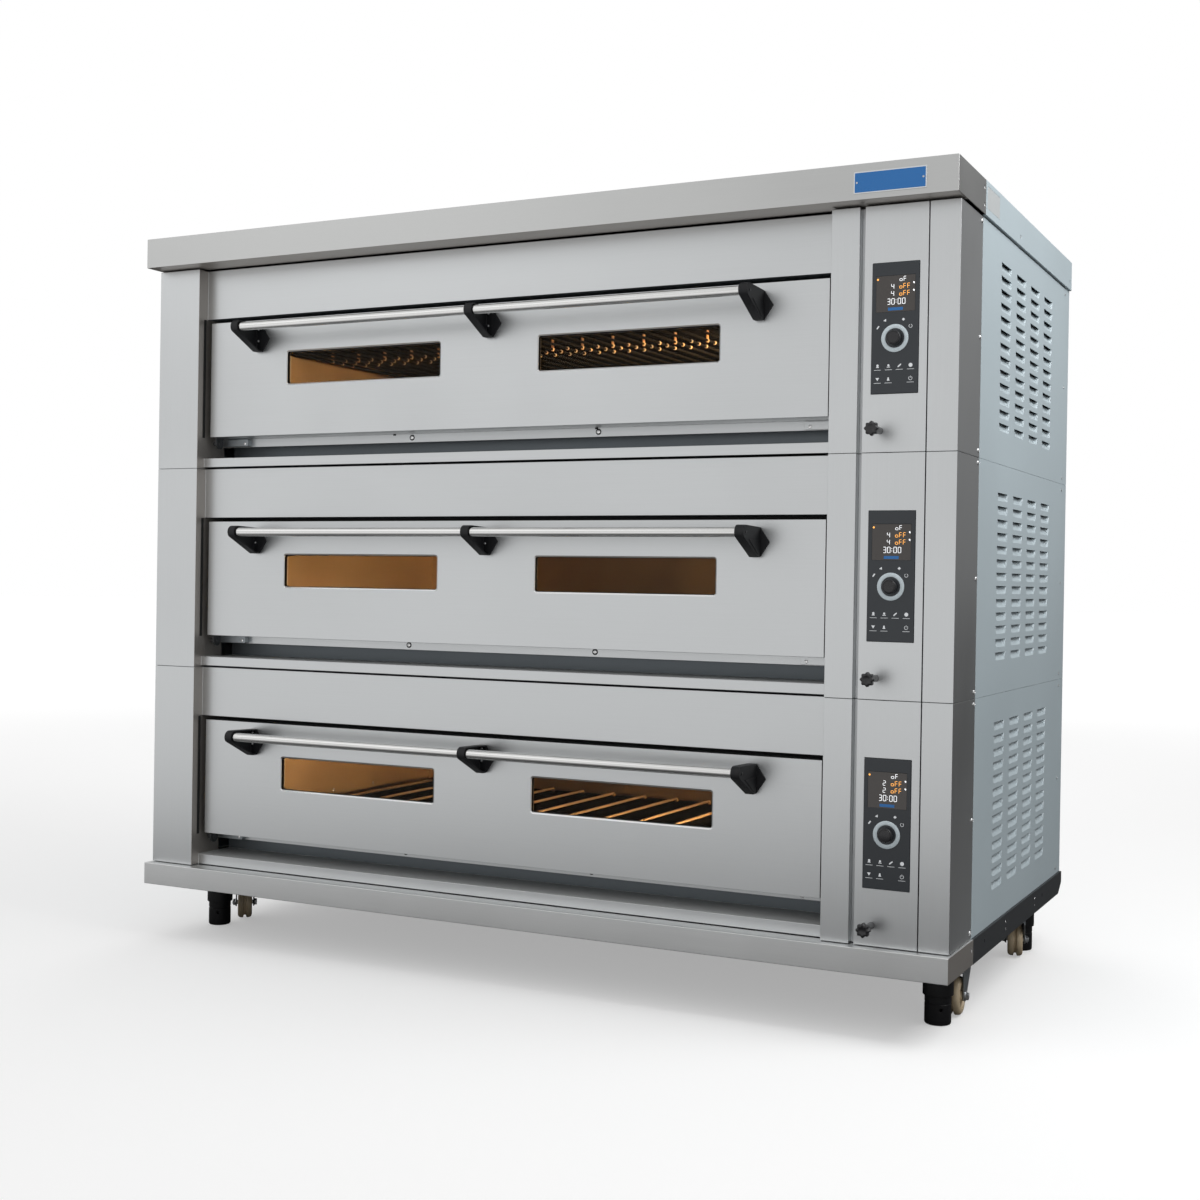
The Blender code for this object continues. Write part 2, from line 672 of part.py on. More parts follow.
def build_chamber(deck, prefix):
    """Baking chamber: a liner open at the front with a face flange around its mouth."""
    seam = deck_level(deck)
    y0 = Y_FACE + CLEAR
    fascia = seam + DOOR_BOTTOM + DOOR_HEIGHT + DOOR_TOP_GAP
    x0 = X_JAMB_LEFT + CAVITY_INSET
    x1 = X_JAMB_RIGHT - CAVITY_INSET
    z0 = seam + CAVITY_FLOOR
    z1 = z0 + CAVITY_HEIGHT
    y1 = y0 + CAVITY_DEPTH
    wall = CHAMBER_WALL
    flange = box(
        X_JAMB_LEFT - CHAMBER_LAP,
        X_JAMB_RIGHT + CHAMBER_LAP,
        y0,
        y0 + SHEET,
        seam + CHAMBER_FACE_RISE,
        fascia + CHAMBER_LAP,
    )
    shell = box(x0 - wall, x1 + wall, y0, y1 + wall, z0 - wall, z1 + wall)
    cavity = box(x0, x1, y0, y1, z0, z1)
    add_node(f"{prefix}_chamber", grid_mesh([flange, shell], [cavity]), CHAMBER_STEEL)
    tube_levels = (
        ("heater_bottom", z0 + TUBE_FLOOR_RISE),
        ("heater_top", z1 - TUBE_CEILING_DROP),
    )
    y_near = y0 + TUBE_FRONT_GAP
    y_far = y1 - TUBE_BACK_GAP
    start = X_DOOR_MID - TUBE_PITCH * (TUBE_COUNT - 1) / 2
    for label, level in tube_levels:
        path = [Vector((start, y1 - CLEAR, level))]
        for n in range(TUBE_COUNT):
            x = start + n * TUBE_PITCH
            ends = (y_near, y_far) if n % 2 else (y_far, y_near)
            if n:
                path.append(Vector((x, ends[0], level)))
            path.append(Vector((x, ends[1], level)))
        path[-1] = Vector((path[-1].x, y1 - CLEAR, level))
        mesh = tube_mesh(path, TUBE_RADIUS, TUBE_SIDES)
        add_node(f"{prefix}_{label}", mesh, TUBE_STEEL, round_piece=True)


def build_door(deck, prefix):
    """Drop-down door tray with two windows, its glass, handle bar and three brackets."""
    seam = deck_level(deck)
    z0 = seam + DOOR_BOTTOM
    z1 = z0 + DOOR_HEIGHT
    x0 = X_DOOR_MID - DOOR_HALF
    x1 = X_DOOR_MID + DOOR_HALF
    y0 = Y_DOOR
    y1 = Y_DOOR + DOOR_DEPTH
    z_pivot = hinge_axis(deck)
    pivot = (X_DOOR_MID, Y_PIVOT, z_pivot)
    sheets = [
        box(x0, x1, y0, y0 + SHEET, z0, z1),
        box(x0, x1, y0, y1, z0, z0 + SHEET),
        box(x0, x1, y0, y1, z1 - SHEET, z1),
        box(x0, x0 + SHEET, y0, y1, z0, z1),
        box(x1 - SHEET, x1, y0, y1, z0, z1),
        box(x0, x1, y1 - SHEET, y1, z0, z0 + DOOR_RIM),
        box(x0, x1, y1 - SHEET, y1, z1 - DOOR_RIM, z1),
        box(x0, x0 + DOOR_RIM, y1 - SHEET, y1, z0, z1),
        box(x1 - DOOR_RIM, x1, y1 - SHEET, y1, z0, z1),
    ]
    ear_low = z_pivot - EAR_HALF
    ear_near = Y_PIVOT - EAR_HALF
    ear_far = Y_PIVOT + EAR_HALF
    sheets.append(box(x0, x0 + EAR_THICKNESS, ear_near, ear_far, ear_low, z0 + SHEET))
    sheets.append(box(x1 - EAR_THICKNESS, x1, ear_near, ear_far, ear_low, z0 + SHEET))
    windows = []
    w0 = z0 + WINDOW_RISE
    w1 = w0 + WINDOW_HEIGHT
    y_reveal = y0 + WINDOW_REVEAL
    for side in (-1, 1):
        a = X_DOOR_MID + side * WINDOW_OFFSET - WINDOW_WIDTH / 2
        b = a + WINDOW_WIDTH
        collar = box(a - SHEET, b + SHEET, y0, y_reveal, w0 - SHEET, w1 + SHEET)
        sheets.append(collar)
        windows.append(box(a, b, y0, y_reveal, w0, w1))
    door = add_node(f"{prefix}_door", grid_mesh(sheets, windows), STAINLESS, pivot)
    reach = DOOR_HALF + DOOR_SIDE_GAP + PIN_REACH
    for label, low, high in (
        ("left", -reach, -DOOR_HALF + EAR_THICKNESS / 2),
        ("right", DOOR_HALF - EAR_THICKNESS / 2, reach),
    ):
        pin = rod_mesh(PIN_RADIUS, low, high, 0, PIN_SEGMENTS)
        combine(door, f"join_{prefix}_pin_{label}", pin, "UNION", pivot)

    glass = grid_mesh([
        box(
            X_DOOR_MID - WINDOW_OFFSET - WINDOW_WIDTH / 2 - GLASS_LAP,
            X_DOOR_MID + WINDOW_OFFSET + WINDOW_WIDTH / 2 + GLASS_LAP,
            y_reveal + CLEAR,
            y_reveal + CLEAR + GLASS_THICKNESS,
            w0 - GLASS_LAP,
            w1 + GLASS_LAP,
        )
    ])
    add_node(f"{prefix}_door_glass", glass, PANE_GLASS, pivot)

    y_bar = Y_DOOR - BAR_STANDOFF
    z_bar = z1 - BAR_DROP
    sunk = SOCKET_DEPTH - CLEAR
    bar = rod_mesh(BAR_RADIUS, -BAR_HALF_LENGTH - sunk, BAR_HALF_LENGTH + sunk, 0)
    bar = ([(x + X_DOOR_MID, y + y_bar, z + z_bar) for x, y, z in bar[0]], bar[1])
    add_node(f"{prefix}_handle_bar", bar, BAR_STEEL, pivot, round_piece=True)

    y_seat = Y_DOOR - CLEAR
    outline = [(y_seat, z_bar + BRACKET_RISE), (y_bar, z_bar + BRACKET_NOSE)]
    for degrees in (112, 135, 158, 180, 202, 222):
        angle = math.radians(degrees)
        outline.append((y_bar + BRACKET_NOSE * math.cos(angle), z_bar + BRACKET_NOSE * math.sin(angle)))
    outline.append((y_seat - BRACKET_FOOT, z_bar - BRACKET_DROP))
    outline.append((y_seat, z_bar - BRACKET_DROP))
    half = BRACKET_WIDTH / 2
    socket = SOCKET_DEPTH
    places = (
        ("left", -BAR_HALF_LENGTH - half, half - socket, half + SHEET),
        ("middle", 0.0, -half - SHEET, half + SHEET),
        ("right", BAR_HALF_LENGTH + half, -half - SHEET, socket - half),
    )
    for label, offset, low, high in places:
        x = X_DOOR_MID + offset
        name = f"{prefix}_bracket_{label}"
        bracket = add_node(name, prism_mesh(outline, x - half, x + half, 0), BLACK_PLASTIC, pivot)
        bore = rod_mesh(BAR_RADIUS + CLEAR, low, high, 0)
        combine(bracket, f"cut_{name}", bore, "DIFFERENCE", (x, y_bar, z_bar))


def build_controls(deck, prefix):
    """Control panel with its display recess and ring, encoder knob and damper pull."""
    seam = deck_level(deck)
    z0 = seam + PANEL_RISE
    half = PANEL_WIDTH / 2
    y0 = Y_FRONT - PANEL_PROUD
    body = box(X_PANEL - half, X_PANEL + half, y0, Y_FRONT + PANEL_BODY_DEPTH, z0, z0 + PANEL_HEIGHT)
    z_display = z0 + DISPLAY_RISE
    display = box(
        X_PANEL - DISPLAY_WIDTH / 2,
        X_PANEL + DISPLAY_WIDTH / 2,
        y0,
        y0 + DISPLAY_DEPTH,
        z_display,
        z_display + DISPLAY_HEIGHT,
    )
    panel = add_node(f"{prefix}_control_panel", grid_mesh([body], [display]), PANEL_PLASTIC)
    centre = (X_PANEL, y0, z0 + ENCODER_RISE)
    ring_profile = (
        (RING_INNER, -RING_PROUD, 0.0),
        (RING_OUTER, -RING_PROUD, 0.0),
        (RING_OUTER, RING_PROUD, 0.0),
        (RING_INNER, RING_PROUD, 0.0),
    )
    ring = turned_mesh(ring_profile, 1, closed=True, segments=2 * PIN_SEGMENTS)
    combine(panel, f"join_{prefix}_ring", ring, "UNION", centre)
    bore_depth = ENCODER_SHAFT_LENGTH + CLEAR
    bore = rod_mesh(ENCODER_SHAFT + CLEAR, -bore_depth, bore_depth, 1)
    combine(panel, f"cut_{prefix}_encoder", bore, "DIFFERENCE", centre)

    knob_profile = (
        (0.0, -ENCODER_SHAFT_LENGTH, 0.0),
        (ENCODER_SHAFT, -ENCODER_SHAFT_LENGTH, 0.0),
        (ENCODER_SHAFT, CLEAR, 0.0),
        (ENCODER_RADIUS, CLEAR, 0.0),
        (ENCODER_RADIUS * 0.97, ENCODER_LENGTH * 0.85, 0.0),
        (ENCODER_RADIUS * 0.88, ENCODER_LENGTH, 0.0),
        (0.0, ENCODER_LENGTH, 0.0),
    )
    knob = turned_mesh(knob_profile, 1, sign=-1.0)
    shifted = [(x + centre[0], y + centre[1], z + centre[2]) for x, y, z in knob[0]]
    add_node(f"{prefix}_encoder_knob", (shifted, knob[1]), BLACK_PLASTIC, centre, round_piece=True)

    spot = (X_DAMPER, Y_FRONT, seam + DAMPER_RISE)
    head = DAMPER_REACH - DAMPER_HEAD
    edge = DAMPER_HEAD * 0.2
    damper_profile = (
        (0.0, -DAMPER_ROD_INSIDE, 0.0),
        (DAMPER_ROD, -DAMPER_ROD_INSIDE, 0.0),
        (DAMPER_ROD, CLEAR, 0.0),
        (DAMPER_NECK, CLEAR, 0.0),
        (DAMPER_NECK, head, 0.0),
        (DAMPER_RADIUS - edge, head, DAMPER_LOBE),
        (DAMPER_RADIUS, head + edge, DAMPER_LOBE),
        (DAMPER_RADIUS, DAMPER_REACH - edge, DAMPER_LOBE),
        (DAMPER_RADIUS - edge, DAMPER_REACH, DAMPER_LOBE),
        (0.0, DAMPER_REACH, 0.0),
    )
    pull = turned_mesh(damper_profile, 1, sign=-1.0, segments=2 * DAMPER_LOBES, lobes=DAMPER_LOBES)
    shifted = [(x + spot[0], y + spot[1], z + spot[2]) for x, y, z in pull[0]]
    add_node(f"{prefix}_damper_knob", (shifted, pull[1]), BLACK_PLASTIC, spot, round_piece=True)


def build_feet():
    """Levelling feet: sole, lower cylinder, groove, sleeve and threaded stem as one turned piece."""
    sleeve = FOOT_TOP * 0.55
    groove = FOOT_TOP * 0.03
    profile = (
        (0.0, 0.0, 0.0),
        (FOOT_RADIUS * 0.92, 0.0, 0.0),
        (FOOT_RADIUS, FOOT_RADIUS * 0.1, 0.0),
        (FOOT_RADIUS, sleeve - groove, 0.0),
        (FOOT_RADIUS * 0.9, sleeve - groove, 0.0),
        (FOOT_RADIUS * 0.9, sleeve, 0.0),
        (FOOT_SLEEVE, sleeve, 0.0),
        (FOOT_SLEEVE, FOOT_TOP, 0.0),
        (FOOT_STEM, FOOT_TOP, 0.0),
        (FOOT_STEM, FOOT_TOP + FOOT_STEM_UP, 0.0),
        (0.0, FOOT_TOP + FOOT_STEM_UP, 0.0),
    )
    foot = turned_mesh(profile, 2)
    for corner, x, y in support_spots(FOOT_EDGE, FOOT_FROM_FRONT, FOOT_FROM_REAR):
        shifted = [(a + x, b + y, c) for a, b, c in foot[0]]
        origin = (x, y, FOOT_TOP)
        add_node(f"foot_{corner}", (shifted, foot[1]), BLACK_PLASTIC, origin, round_piece=True)


def build_casters():
    """Swivel casters: fork with crown, head and axle, and a grooved wheel."""
    half_wheel = WHEEL_WIDTH / 2
    inside = half_wheel + WHEEL_SIDE_GAP
    outside = inside + FORK_SHEET
    z_crown = Z_AXLE + WHEEL_RADIUS + WHEEL_TOP_GAP
    z_head = BASE_BOTTOM - CASTER_PAD_THICKNESS - CLEAR
    trail = CASTER_TRAIL
    cheek = (
        (-CASTER_HEAD, z_crown + CASTER_CROWN),
        (-CASTER_HEAD, z_crown - CASTER_CROWN),
        (trail - WHEEL_RADIUS / 2, Z_AXLE - AXLE_RADIUS * 2),
        (trail + WHEEL_RADIUS / 3, Z_AXLE - AXLE_RADIUS * 2),
        (trail + WHEEL_RADIUS / 2, z_crown - CASTER_CROWN),
        (trail + WHEEL_RADIUS / 2, z_crown + CASTER_CROWN),
    )
    cheek = tuple(reversed(cheek))
    crown = (
        (-CASTER_HEAD, z_crown),
        (trail + WHEEL_RADIUS / 2, z_crown),
        (trail + WHEEL_RADIUS / 2, z_crown + CASTER_CROWN),
        (-CASTER_HEAD, z_crown + CASTER_CROWN),
    )
    wheel_profile = (
        (AXLE_RADIUS + CLEAR, -half_wheel, 0.0),
        (WHEEL_RADIUS * 0.9, -half_wheel, 0.0),
        (WHEEL_RADIUS, -half_wheel * 0.75, 0.0),
        (WHEEL_RADIUS, -WHEEL_GROOVE / 2, 0.0),
        (WHEEL_RADIUS - WHEEL_GROOVE, 0.0, 0.0),
        (WHEEL_RADIUS, WHEEL_GROOVE / 2, 0.0),
        (WHEEL_RADIUS, half_wheel * 0.75, 0.0),
        (WHEEL_RADIUS * 0.9, half_wheel, 0.0),
        (AXLE_RADIUS + CLEAR, half_wheel, 0.0),
    )
    turns = {"front_left": 219.0, "front_right": 183.0, "rear_left": 20.0, "rear_right": 12.0}
    for corner, x, y in support_spots(CASTER_EDGE, CASTER_FROM_FRONT, CASTER_FROM_REAR):
        turn = Matrix.Rotation(math.radians(turns[corner]), 4, "Z")
        place = Matrix.Translation((x, y, 0.0)) @ turn

        def placed(mesh):
            return [tuple(place @ Vector(point)) for point in mesh[0]], mesh[1]

        origin = (x, y, z_head)
        body = prism_mesh(crown, -inside - FORK_SHEET / 2, inside + FORK_SHEET / 2, 0)
        fork = add_node(f"caster_fork_{corner}", placed(body), ZINC, origin)
        for label, low, high in (("left", -outside, -inside), ("right", inside, outside)):
            plate = placed(prism_mesh(cheek, low, high, 0))
            combine(fork, f"join_{corner}_cheek_{label}", plate, "UNION")
        head = placed(rod_mesh(CASTER_HEAD, z_crown + CASTER_CROWN / 2, z_head, 2))
        combine(fork, f"join_{corner}_head", head, "UNION")
        axle = rod_mesh(AXLE_RADIUS, -outside - AXLE_END, outside + AXLE_END, 0, PIN_SEGMENTS)
        axle = ([(a, b + trail, c + Z_AXLE) for a, b, c in axle[0]], axle[1])
        combine(fork, f"join_{corner}_axle", placed(axle), "UNION")
        wheel = turned_mesh(wheel_profile, 0, closed=True)
        wheel = ([(a, b + trail, c + Z_AXLE) for a, b, c in wheel[0]], wheel[1])
        centre = tuple(place @ Vector((0.0, trail, Z_AXLE)))
        add_node(f"caster_wheel_{corner}", placed(wheel), NYLON, centre, round_piece=True)


def main():
    """Clear the scene and build every piece."""
    for item in list(bpy.data.objects):
        bpy.data.objects.remove(item)
    build_cap()
    build_base()
    build_casing()
    for deck, prefix in enumerate(DECK_NAMES):
        build_front_frame(deck, prefix)
        build_side_panel(deck, prefix)
        build_chamber(deck, prefix)
        build_door(deck, prefix)
        build_controls(deck, prefix)
    build_feet()
    build_casters()


main()
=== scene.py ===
"""Looks of a three-deck bakery oven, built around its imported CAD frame. Metres, +Z up."""

import math

import bmesh
import bpy
import numpy as np
from mathutils import Euler, Matrix, Vector


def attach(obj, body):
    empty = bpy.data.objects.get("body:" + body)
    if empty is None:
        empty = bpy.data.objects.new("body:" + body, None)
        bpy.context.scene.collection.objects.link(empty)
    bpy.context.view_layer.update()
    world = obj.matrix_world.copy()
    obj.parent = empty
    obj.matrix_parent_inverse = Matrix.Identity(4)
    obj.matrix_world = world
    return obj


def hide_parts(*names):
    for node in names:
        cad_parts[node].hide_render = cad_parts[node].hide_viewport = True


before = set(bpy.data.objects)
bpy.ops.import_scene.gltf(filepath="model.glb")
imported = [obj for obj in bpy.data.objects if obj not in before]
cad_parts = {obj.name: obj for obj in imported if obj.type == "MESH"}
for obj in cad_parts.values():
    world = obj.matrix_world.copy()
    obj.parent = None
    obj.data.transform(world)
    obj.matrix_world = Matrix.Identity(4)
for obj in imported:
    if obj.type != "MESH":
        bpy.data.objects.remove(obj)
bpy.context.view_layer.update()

DECKS = ("lower", "middle", "upper")
SIDES = (("right", 1, "+x"), ("left", -1, "-x"))
CLEAR = 0.0003
SHEET = 0.002
HALF = 0.935
WIDE = 0.940
Y_FRONT = -0.4735
Y_BACK = 0.5355
Y_RETURN = Y_FRONT + 0.161
Y_DOOR = Y_FRONT + 0.030
Y_FACE = Y_FRONT + 0.094
Y_PIVOT = Y_FRONT + 0.060
BASE_BOTTOM = 0.120
Z_BASE = 0.168
PITCH = 0.455
Z_BODY = Z_BASE + 3 * PITCH
Z_CAP = Z_BODY + 0.003
Z_TOP = Z_CAP + 0.066
X_JAMB_LEFT = -0.820
X_JAMB_RIGHT = 0.691
X_MULLION = 0.746
X_COLUMN = 0.756
X_SEAM = 0.877
X_DOOR = (X_JAMB_LEFT + X_JAMB_RIGHT) / 2
DOOR_HALF = 0.744
X_PANEL = 0.816
X_DAMPER = 0.790
DAMPER_RISE = 0.040
ENCODER_RISE = 0.209
PANEL_RISE = 0.108
PANEL_HALF = 0.044
PANEL_TALL = 0.240
DOOR_BOTTOM = 0.073
DOOR_TOP = 0.334
PIVOT_DROP = 0.013
FASCIA = 0.343
FACE_RISE = 0.054
CAVITY_INSET = 0.030
CAVITY_FLOOR = 0.084
CAVITY_TOP = 0.315
CAVITY_DEPTH = 0.850
Y_LAMP = 0.05
ROD_PITCH = 0.0905
HAIRPIN_PITCH = 0.078
HAIRPIN_GAP = 0.0195
TUBE_RADIUS = 0.0031
CLIP_ROWS = (-0.063, -0.022, 0.021)
BAR_Y = Y_DOOR - 0.078
BAR_Z = DOOR_TOP - 0.0265
BAR_HALF = 0.5945
GRIP_HALF = 0.00925
LOUVRE_COLUMN = 0.136
LOUVRE_ROW = 0.0264
LOUVRE_FOOT = 0.0052
FEET = (("front_left", -0.873, -0.3085), ("front_right", 0.873, -0.3085),
        ("rear_left", -0.873, 0.4165), ("rear_right", 0.873, 0.4165))
CASTERS = (("front_left", -0.883, -0.2035, 219.0), ("front_right", 0.883, -0.2035, 183.0),
           ("rear_left", -0.883, 0.3115, 20.0), ("rear_right", 0.883, 0.3115, 12.0))


# ---------------------------------------------------------------- materials


def node(tree, kind, **values):
    """Shader node with attributes and inputs set."""
    made = tree.nodes.new(kind)
    for key, value in values.items():
        if key.startswith("in_"):
            made.inputs[key[3:].replace("_", " ")].default_value = value
        else:
            setattr(made, key, value)
    return made


def ramp(tree, source, low, high, start, stop, kind="LINEAR"):
    """Result of a Map Range node fed by a socket."""
    made = node(tree, "ShaderNodeMapRange", interpolation_type=kind, in_From_Min=low, in_From_Max=high,
                in_To_Min=start, in_To_Max=stop)
    tree.links.new(source, made.inputs["Value"])
    return made.outputs["Result"]


def along(tree, source, direction):
    """Dot product of a vector socket with a fixed direction."""
    made = node(tree, "ShaderNodeVectorMath", operation="DOT_PRODUCT")
    made.inputs[1].default_value = direction
    tree.links.new(source, made.inputs[0])
    return made.outputs["Value"]


def grained(name, colour, roughness, metallic=0.0, stretch=(1, 1, 1), grain=400.0, bump=0.05,
            depth=0.0002, tone=0.04, swing=0.05, blotch=2.5, blotch_tone=0.03, **sockets):
    """Principled material with stretched fine grain, soft blotches and matching roughness."""
    material = bpy.data.materials.new(name)
    material.use_nodes = True
    tree = material.node_tree
    link = tree.links.new
    shader = tree.nodes["Principled BSDF"]
    shader.inputs["Metallic"].default_value = metallic
    for key, value in sockets.items():
        shader.inputs[key.replace("_", " ")].default_value = value
    coord = node(tree, "ShaderNodeTexCoord").outputs["Object"]
    mapping = node(tree, "ShaderNodeMapping", in_Scale=stretch)
    link(coord, mapping.inputs["Vector"])
    fine = node(tree, "ShaderNodeTexNoise", in_Scale=grain, in_Detail=4.0, in_Roughness=0.6)
    link(mapping.outputs["Vector"], fine.inputs["Vector"])
    soft = node(tree, "ShaderNodeTexNoise", in_Scale=blotch, in_Detail=3.0, in_Roughness=0.5)
    link(coord, soft.inputs["Vector"])
    mix = node(tree, "ShaderNodeMix", data_type="RGBA")
    mix.inputs[6].default_value = [c * (1 - tone) for c in colour] + [1]
    mix.inputs[7].default_value = [min(c * (1 + tone), 1) for c in colour] + [1]
    link(fine.outputs["Fac"], mix.inputs[0])
    scale = node(tree, "ShaderNodeVectorMath", operation="SCALE")
    link(mix.outputs[2], scale.inputs[0])
    link(ramp(tree, soft.outputs["Fac"], 0.3, 0.7, 1 - blotch_tone, 1 + blotch_tone), scale.inputs["Scale"])
    link(scale.outputs["Vector"], shader.inputs["Base Color"])
    both = node(tree, "ShaderNodeMath", operation="ADD")
    link(fine.outputs["Fac"], both.inputs[0])
    link(soft.outputs["Fac"], both.inputs[1])
    rough = ramp(tree, both.outputs["Value"], 0.7, 1.3, roughness - swing, roughness + swing)
    link(rough, shader.inputs["Roughness"])
    relief = node(tree, "ShaderNodeBump", in_Strength=bump, in_Distance=depth)
    link(fine.outputs["Fac"], relief.inputs["Height"])
    link(relief.outputs["Normal"], shader.inputs["Normal"])
    return material


def steel(name, colour, roughness=0.36, metallic=1.0, stretch=(0.006, 1, 1), bump=0.1, depth=0.0003,
          tone=0.05, swing=0.05):
    """Brushed sheet metal."""
    return grained(name, colour, roughness, metallic, stretch, 900, bump, depth, tone, swing)


def even(name, colour, roughness, grain, bump, tone, metallic=0.0, **look):
    """Material whose grain has no direction."""
    return grained(name, colour, roughness, metallic, grain=grain, bump=bump, tone=tone, **look)


STEEL = (0.60, 0.615, 0.622)
steel_x = steel("steel_brushed_x", STEEL)
steel_z = steel("steel_brushed_z", STEEL, stretch=(1, 1, 0.006))
steel_bar = steel("steel_polished", (0.72, 0.72, 0.71), 0.20, 1.0, (0.01, 1, 1), 0.05, 0.0002, 0.03, 0.04)
paint = even("paint_blue_grey", (0.44, 0.515, 0.55), 0.42, 900, 0.10, 0.02, swing=0.04)
paint_dark = even("paint_dark_grey", (0.022, 0.025, 0.028), 0.48, 900, 0.12, 0.06)
liner = grained("liner_heat_tinted", (0.40, 0.31, 0.22), 0.45, 1.0, (0.02, 1, 1), 500, 0.12, 0.0004, 0.10, 0.08,
                blotch=6, blotch_tone=0.12)
# Near-black, unreflective copy of the liner for the chamber's ceiling, floor and hearth plate: painted shade.
liner_painted_dark = grained("liner_dark_enamel", (0.006, 0.006, 0.0065), 0.45, 0.0, (0.05, 1, 1), 400, 0.15, 0.0004, 0.15,
                     0.08, blotch=6, blotch_tone=0.15, Specular_IOR_Level=0.0)
# Less metallic copy of the steel for the sill's top face, so it reads lit from above: painted light.
sill_steel_lit = steel("steel_sill_top", (0.52, 0.53, 0.53), 0.50, 0.35, (0.01, 1, 1), tone=0.06)
plate_pale = grained("plate_pale_metal", (0.56, 0.585, 0.59), 0.40, 0.25, (0.02, 0.02, 1), 900, 0.08)
glyph_dim = even("glyph_dim", (0.62, 0.64, 0.66), 0.5, 900, 0.0, 0.01, Emission_Color=(0.95, 0.97, 1, 1),
                 Emission_Strength=0.18)
# Dimmer brownish copy of the steel: painted shade and dark reflection on the jambs, the cap band's underside, the base
# band's side returns and the downward window bevels.
steel_painted_dim = steel("steel_jamb_brown", (0.40, 0.375, 0.35), 0.44, 0.8, (1, 1, 0.01), tone=0.06)
# Dark copy of the steel for the recess's back wall under the door and for faces turned down: painted shade.
steel_shade = steel("steel_recess_dark", (0.150, 0.170, 0.185), 0.42, 0.6, (0.01, 1, 1), tone=0.06)
tube_metal = even("heating_tube_oxide", (0.36, 0.255, 0.155), 0.42, 500, 0.1, 0.12, 0.60, blotch=14, blotch_tone=0.15)
# Near-black, unreflective copy of the heating tube for the ceiling hairpins: painted shade.
tube_painted_dark = even("heating_tube_dark", (0.006, 0.006, 0.006), 0.60, 500, 0.1, 0.12, Specular_IOR_Level=0.0)
# Warm hanger colour with an orange glow: painted light from the oven lamp on the hangers, which are no lamp.
strap_painted_glow = even("hanger_oxide", (0.36, 0.19, 0.075), 0.50, 500, 0.1, 0.12, Emission_Color=(0.16, 0.06, 0.018, 1),
                  Emission_Strength=1.0)
# Pale, warm-tinted clips that show as glints on the dark hairpins: real clips with painted glints.
clip_painted_glint = even("heater_clip", (0.60, 0.45, 0.28), 0.45, 500, 0.1, 0.12)
screw_bright = even("screw_bright", (0.93, 0.93, 0.93), 0.24, 220, 0.08, 0.04, 1.0)
steel_cap = steel("steel_cap", (0.52, 0.525, 0.52))
steel_base = steel("steel_base_band", (0.79, 0.80, 0.80), 0.40)
# Near-white steel for the window bevels that face up: painted highlight.
steel_lip = steel("steel_lip", (0.95, 0.955, 0.96), 0.28, 1.0, (0.01, 1, 1), 0.05, 0.0002, 0.03, 0.04)
# Very dark zinc for the caster pad bolts and the door pivots; on the pivots it is painted shade in the gap under the
# door.
zinc_dark = even("zinc_dull", (0.090, 0.092, 0.096), 0.46, 260, 0.12, 0.10, 0.6, blotch=40, blotch_tone=0.10)
black_plastic = even("plastic_black", (0.010, 0.0105, 0.012), 0.52, 1600, 0.12, 0.15, Specular_IOR_Level=0.28)
knob_plastic = even("plastic_knob", (0.014, 0.014, 0.016), 0.28, 1600, 0.08, 0.12)
# Near-black, barely reflective finish for the window reveals above and at the sides: painted dark reflection and shade.
collar_black = even("collar_black", (0.004, 0.004, 0.004), 0.7, 1200, 0.1, 0.15, Specular_IOR_Level=0.08)
gasket_rubber = even("rubber_gasket", (0.010, 0.010, 0.010), 0.6, 1200, 0.2, 0.15)
panel_film = even("panel_charcoal_film", (0.023, 0.028, 0.034), 0.36, 1500, 0.10, 0.05)
display_glass = even("display_smoked", (0.060, 0.053, 0.049), 0.18, 1500, 0.02, 0.05)
ring_plastic = even("ring_pale", (0.58, 0.66, 0.70), 0.34, 1300, 0.06, 0.02)
zinc = even("zinc_bright", (0.62, 0.63, 0.64), 0.30, 220, 0.12, 0.10, 1.0, blotch=60, blotch_tone=0.10)
zinc_fork = even("zinc_blue_fork", (0.34, 0.37, 0.39), 0.36, 200, 0.10, 0.10, 0.85, blotch=40, blotch_tone=0.12)
nylon = even("nylon_cream", (0.56, 0.45, 0.30), 0.48, 700, 0.15, 0.06, blotch=30)
foot_plastic = even("foot_black", (0.008, 0.008, 0.009), 0.42, 1200, 0.08, 0.15, Specular_IOR_Level=0.28)
plate_blue = even("plate_blue_enamel", (0.012, 0.150, 0.440), 0.30, 1200, 0.05, 0.03)
plate_silver = grained("plate_aluminium", (0.70, 0.72, 0.73), 0.34, 1.0, (0.02, 0.02, 1), 900, 0.08)
# Matte black for the rings behind the face screws and the notch openings: painted shadow and shade.
shade_black_painted = even("insulation_dark", (0.010, 0.010, 0.011), 0.85, 300, 0.2, 0.2)
glow_white = even("glyph_white", (0.85, 0.87, 0.88), 0.5, 900, 0.0, 0.01, Emission_Color=(0.95, 0.97, 1, 1),
                  Emission_Strength=0.9)
glow_amber = even("glyph_amber", (0.90, 0.42, 0.10), 0.5, 900, 0.0, 0.01, Emission_Color=(1, 0.42, 0.07, 1),
                  Emission_Strength=1.2)
lamp_glass = even("lamp_warm", (0.9, 0.7, 0.4), 0.4, 300, 0.05, 0.03, Emission_Color=(1, 0.55, 0.2, 1),
                  Emission_Strength=3.0)
pane = even("pane_tinted", (0.012, 0.008, 0.004), 0.04, 300, 0.0, 0.05, swing=0.01, Alpha=0.22,
            Specular_IOR_Level=0.20)


# ---------------------------------------------------------------- mesh helpers


def mm(*spots):
    """Profile in millimetres, a third value kept as it is."""
    return [(a / 1000, b / 1000, *rest) for a, b, *rest in spots]


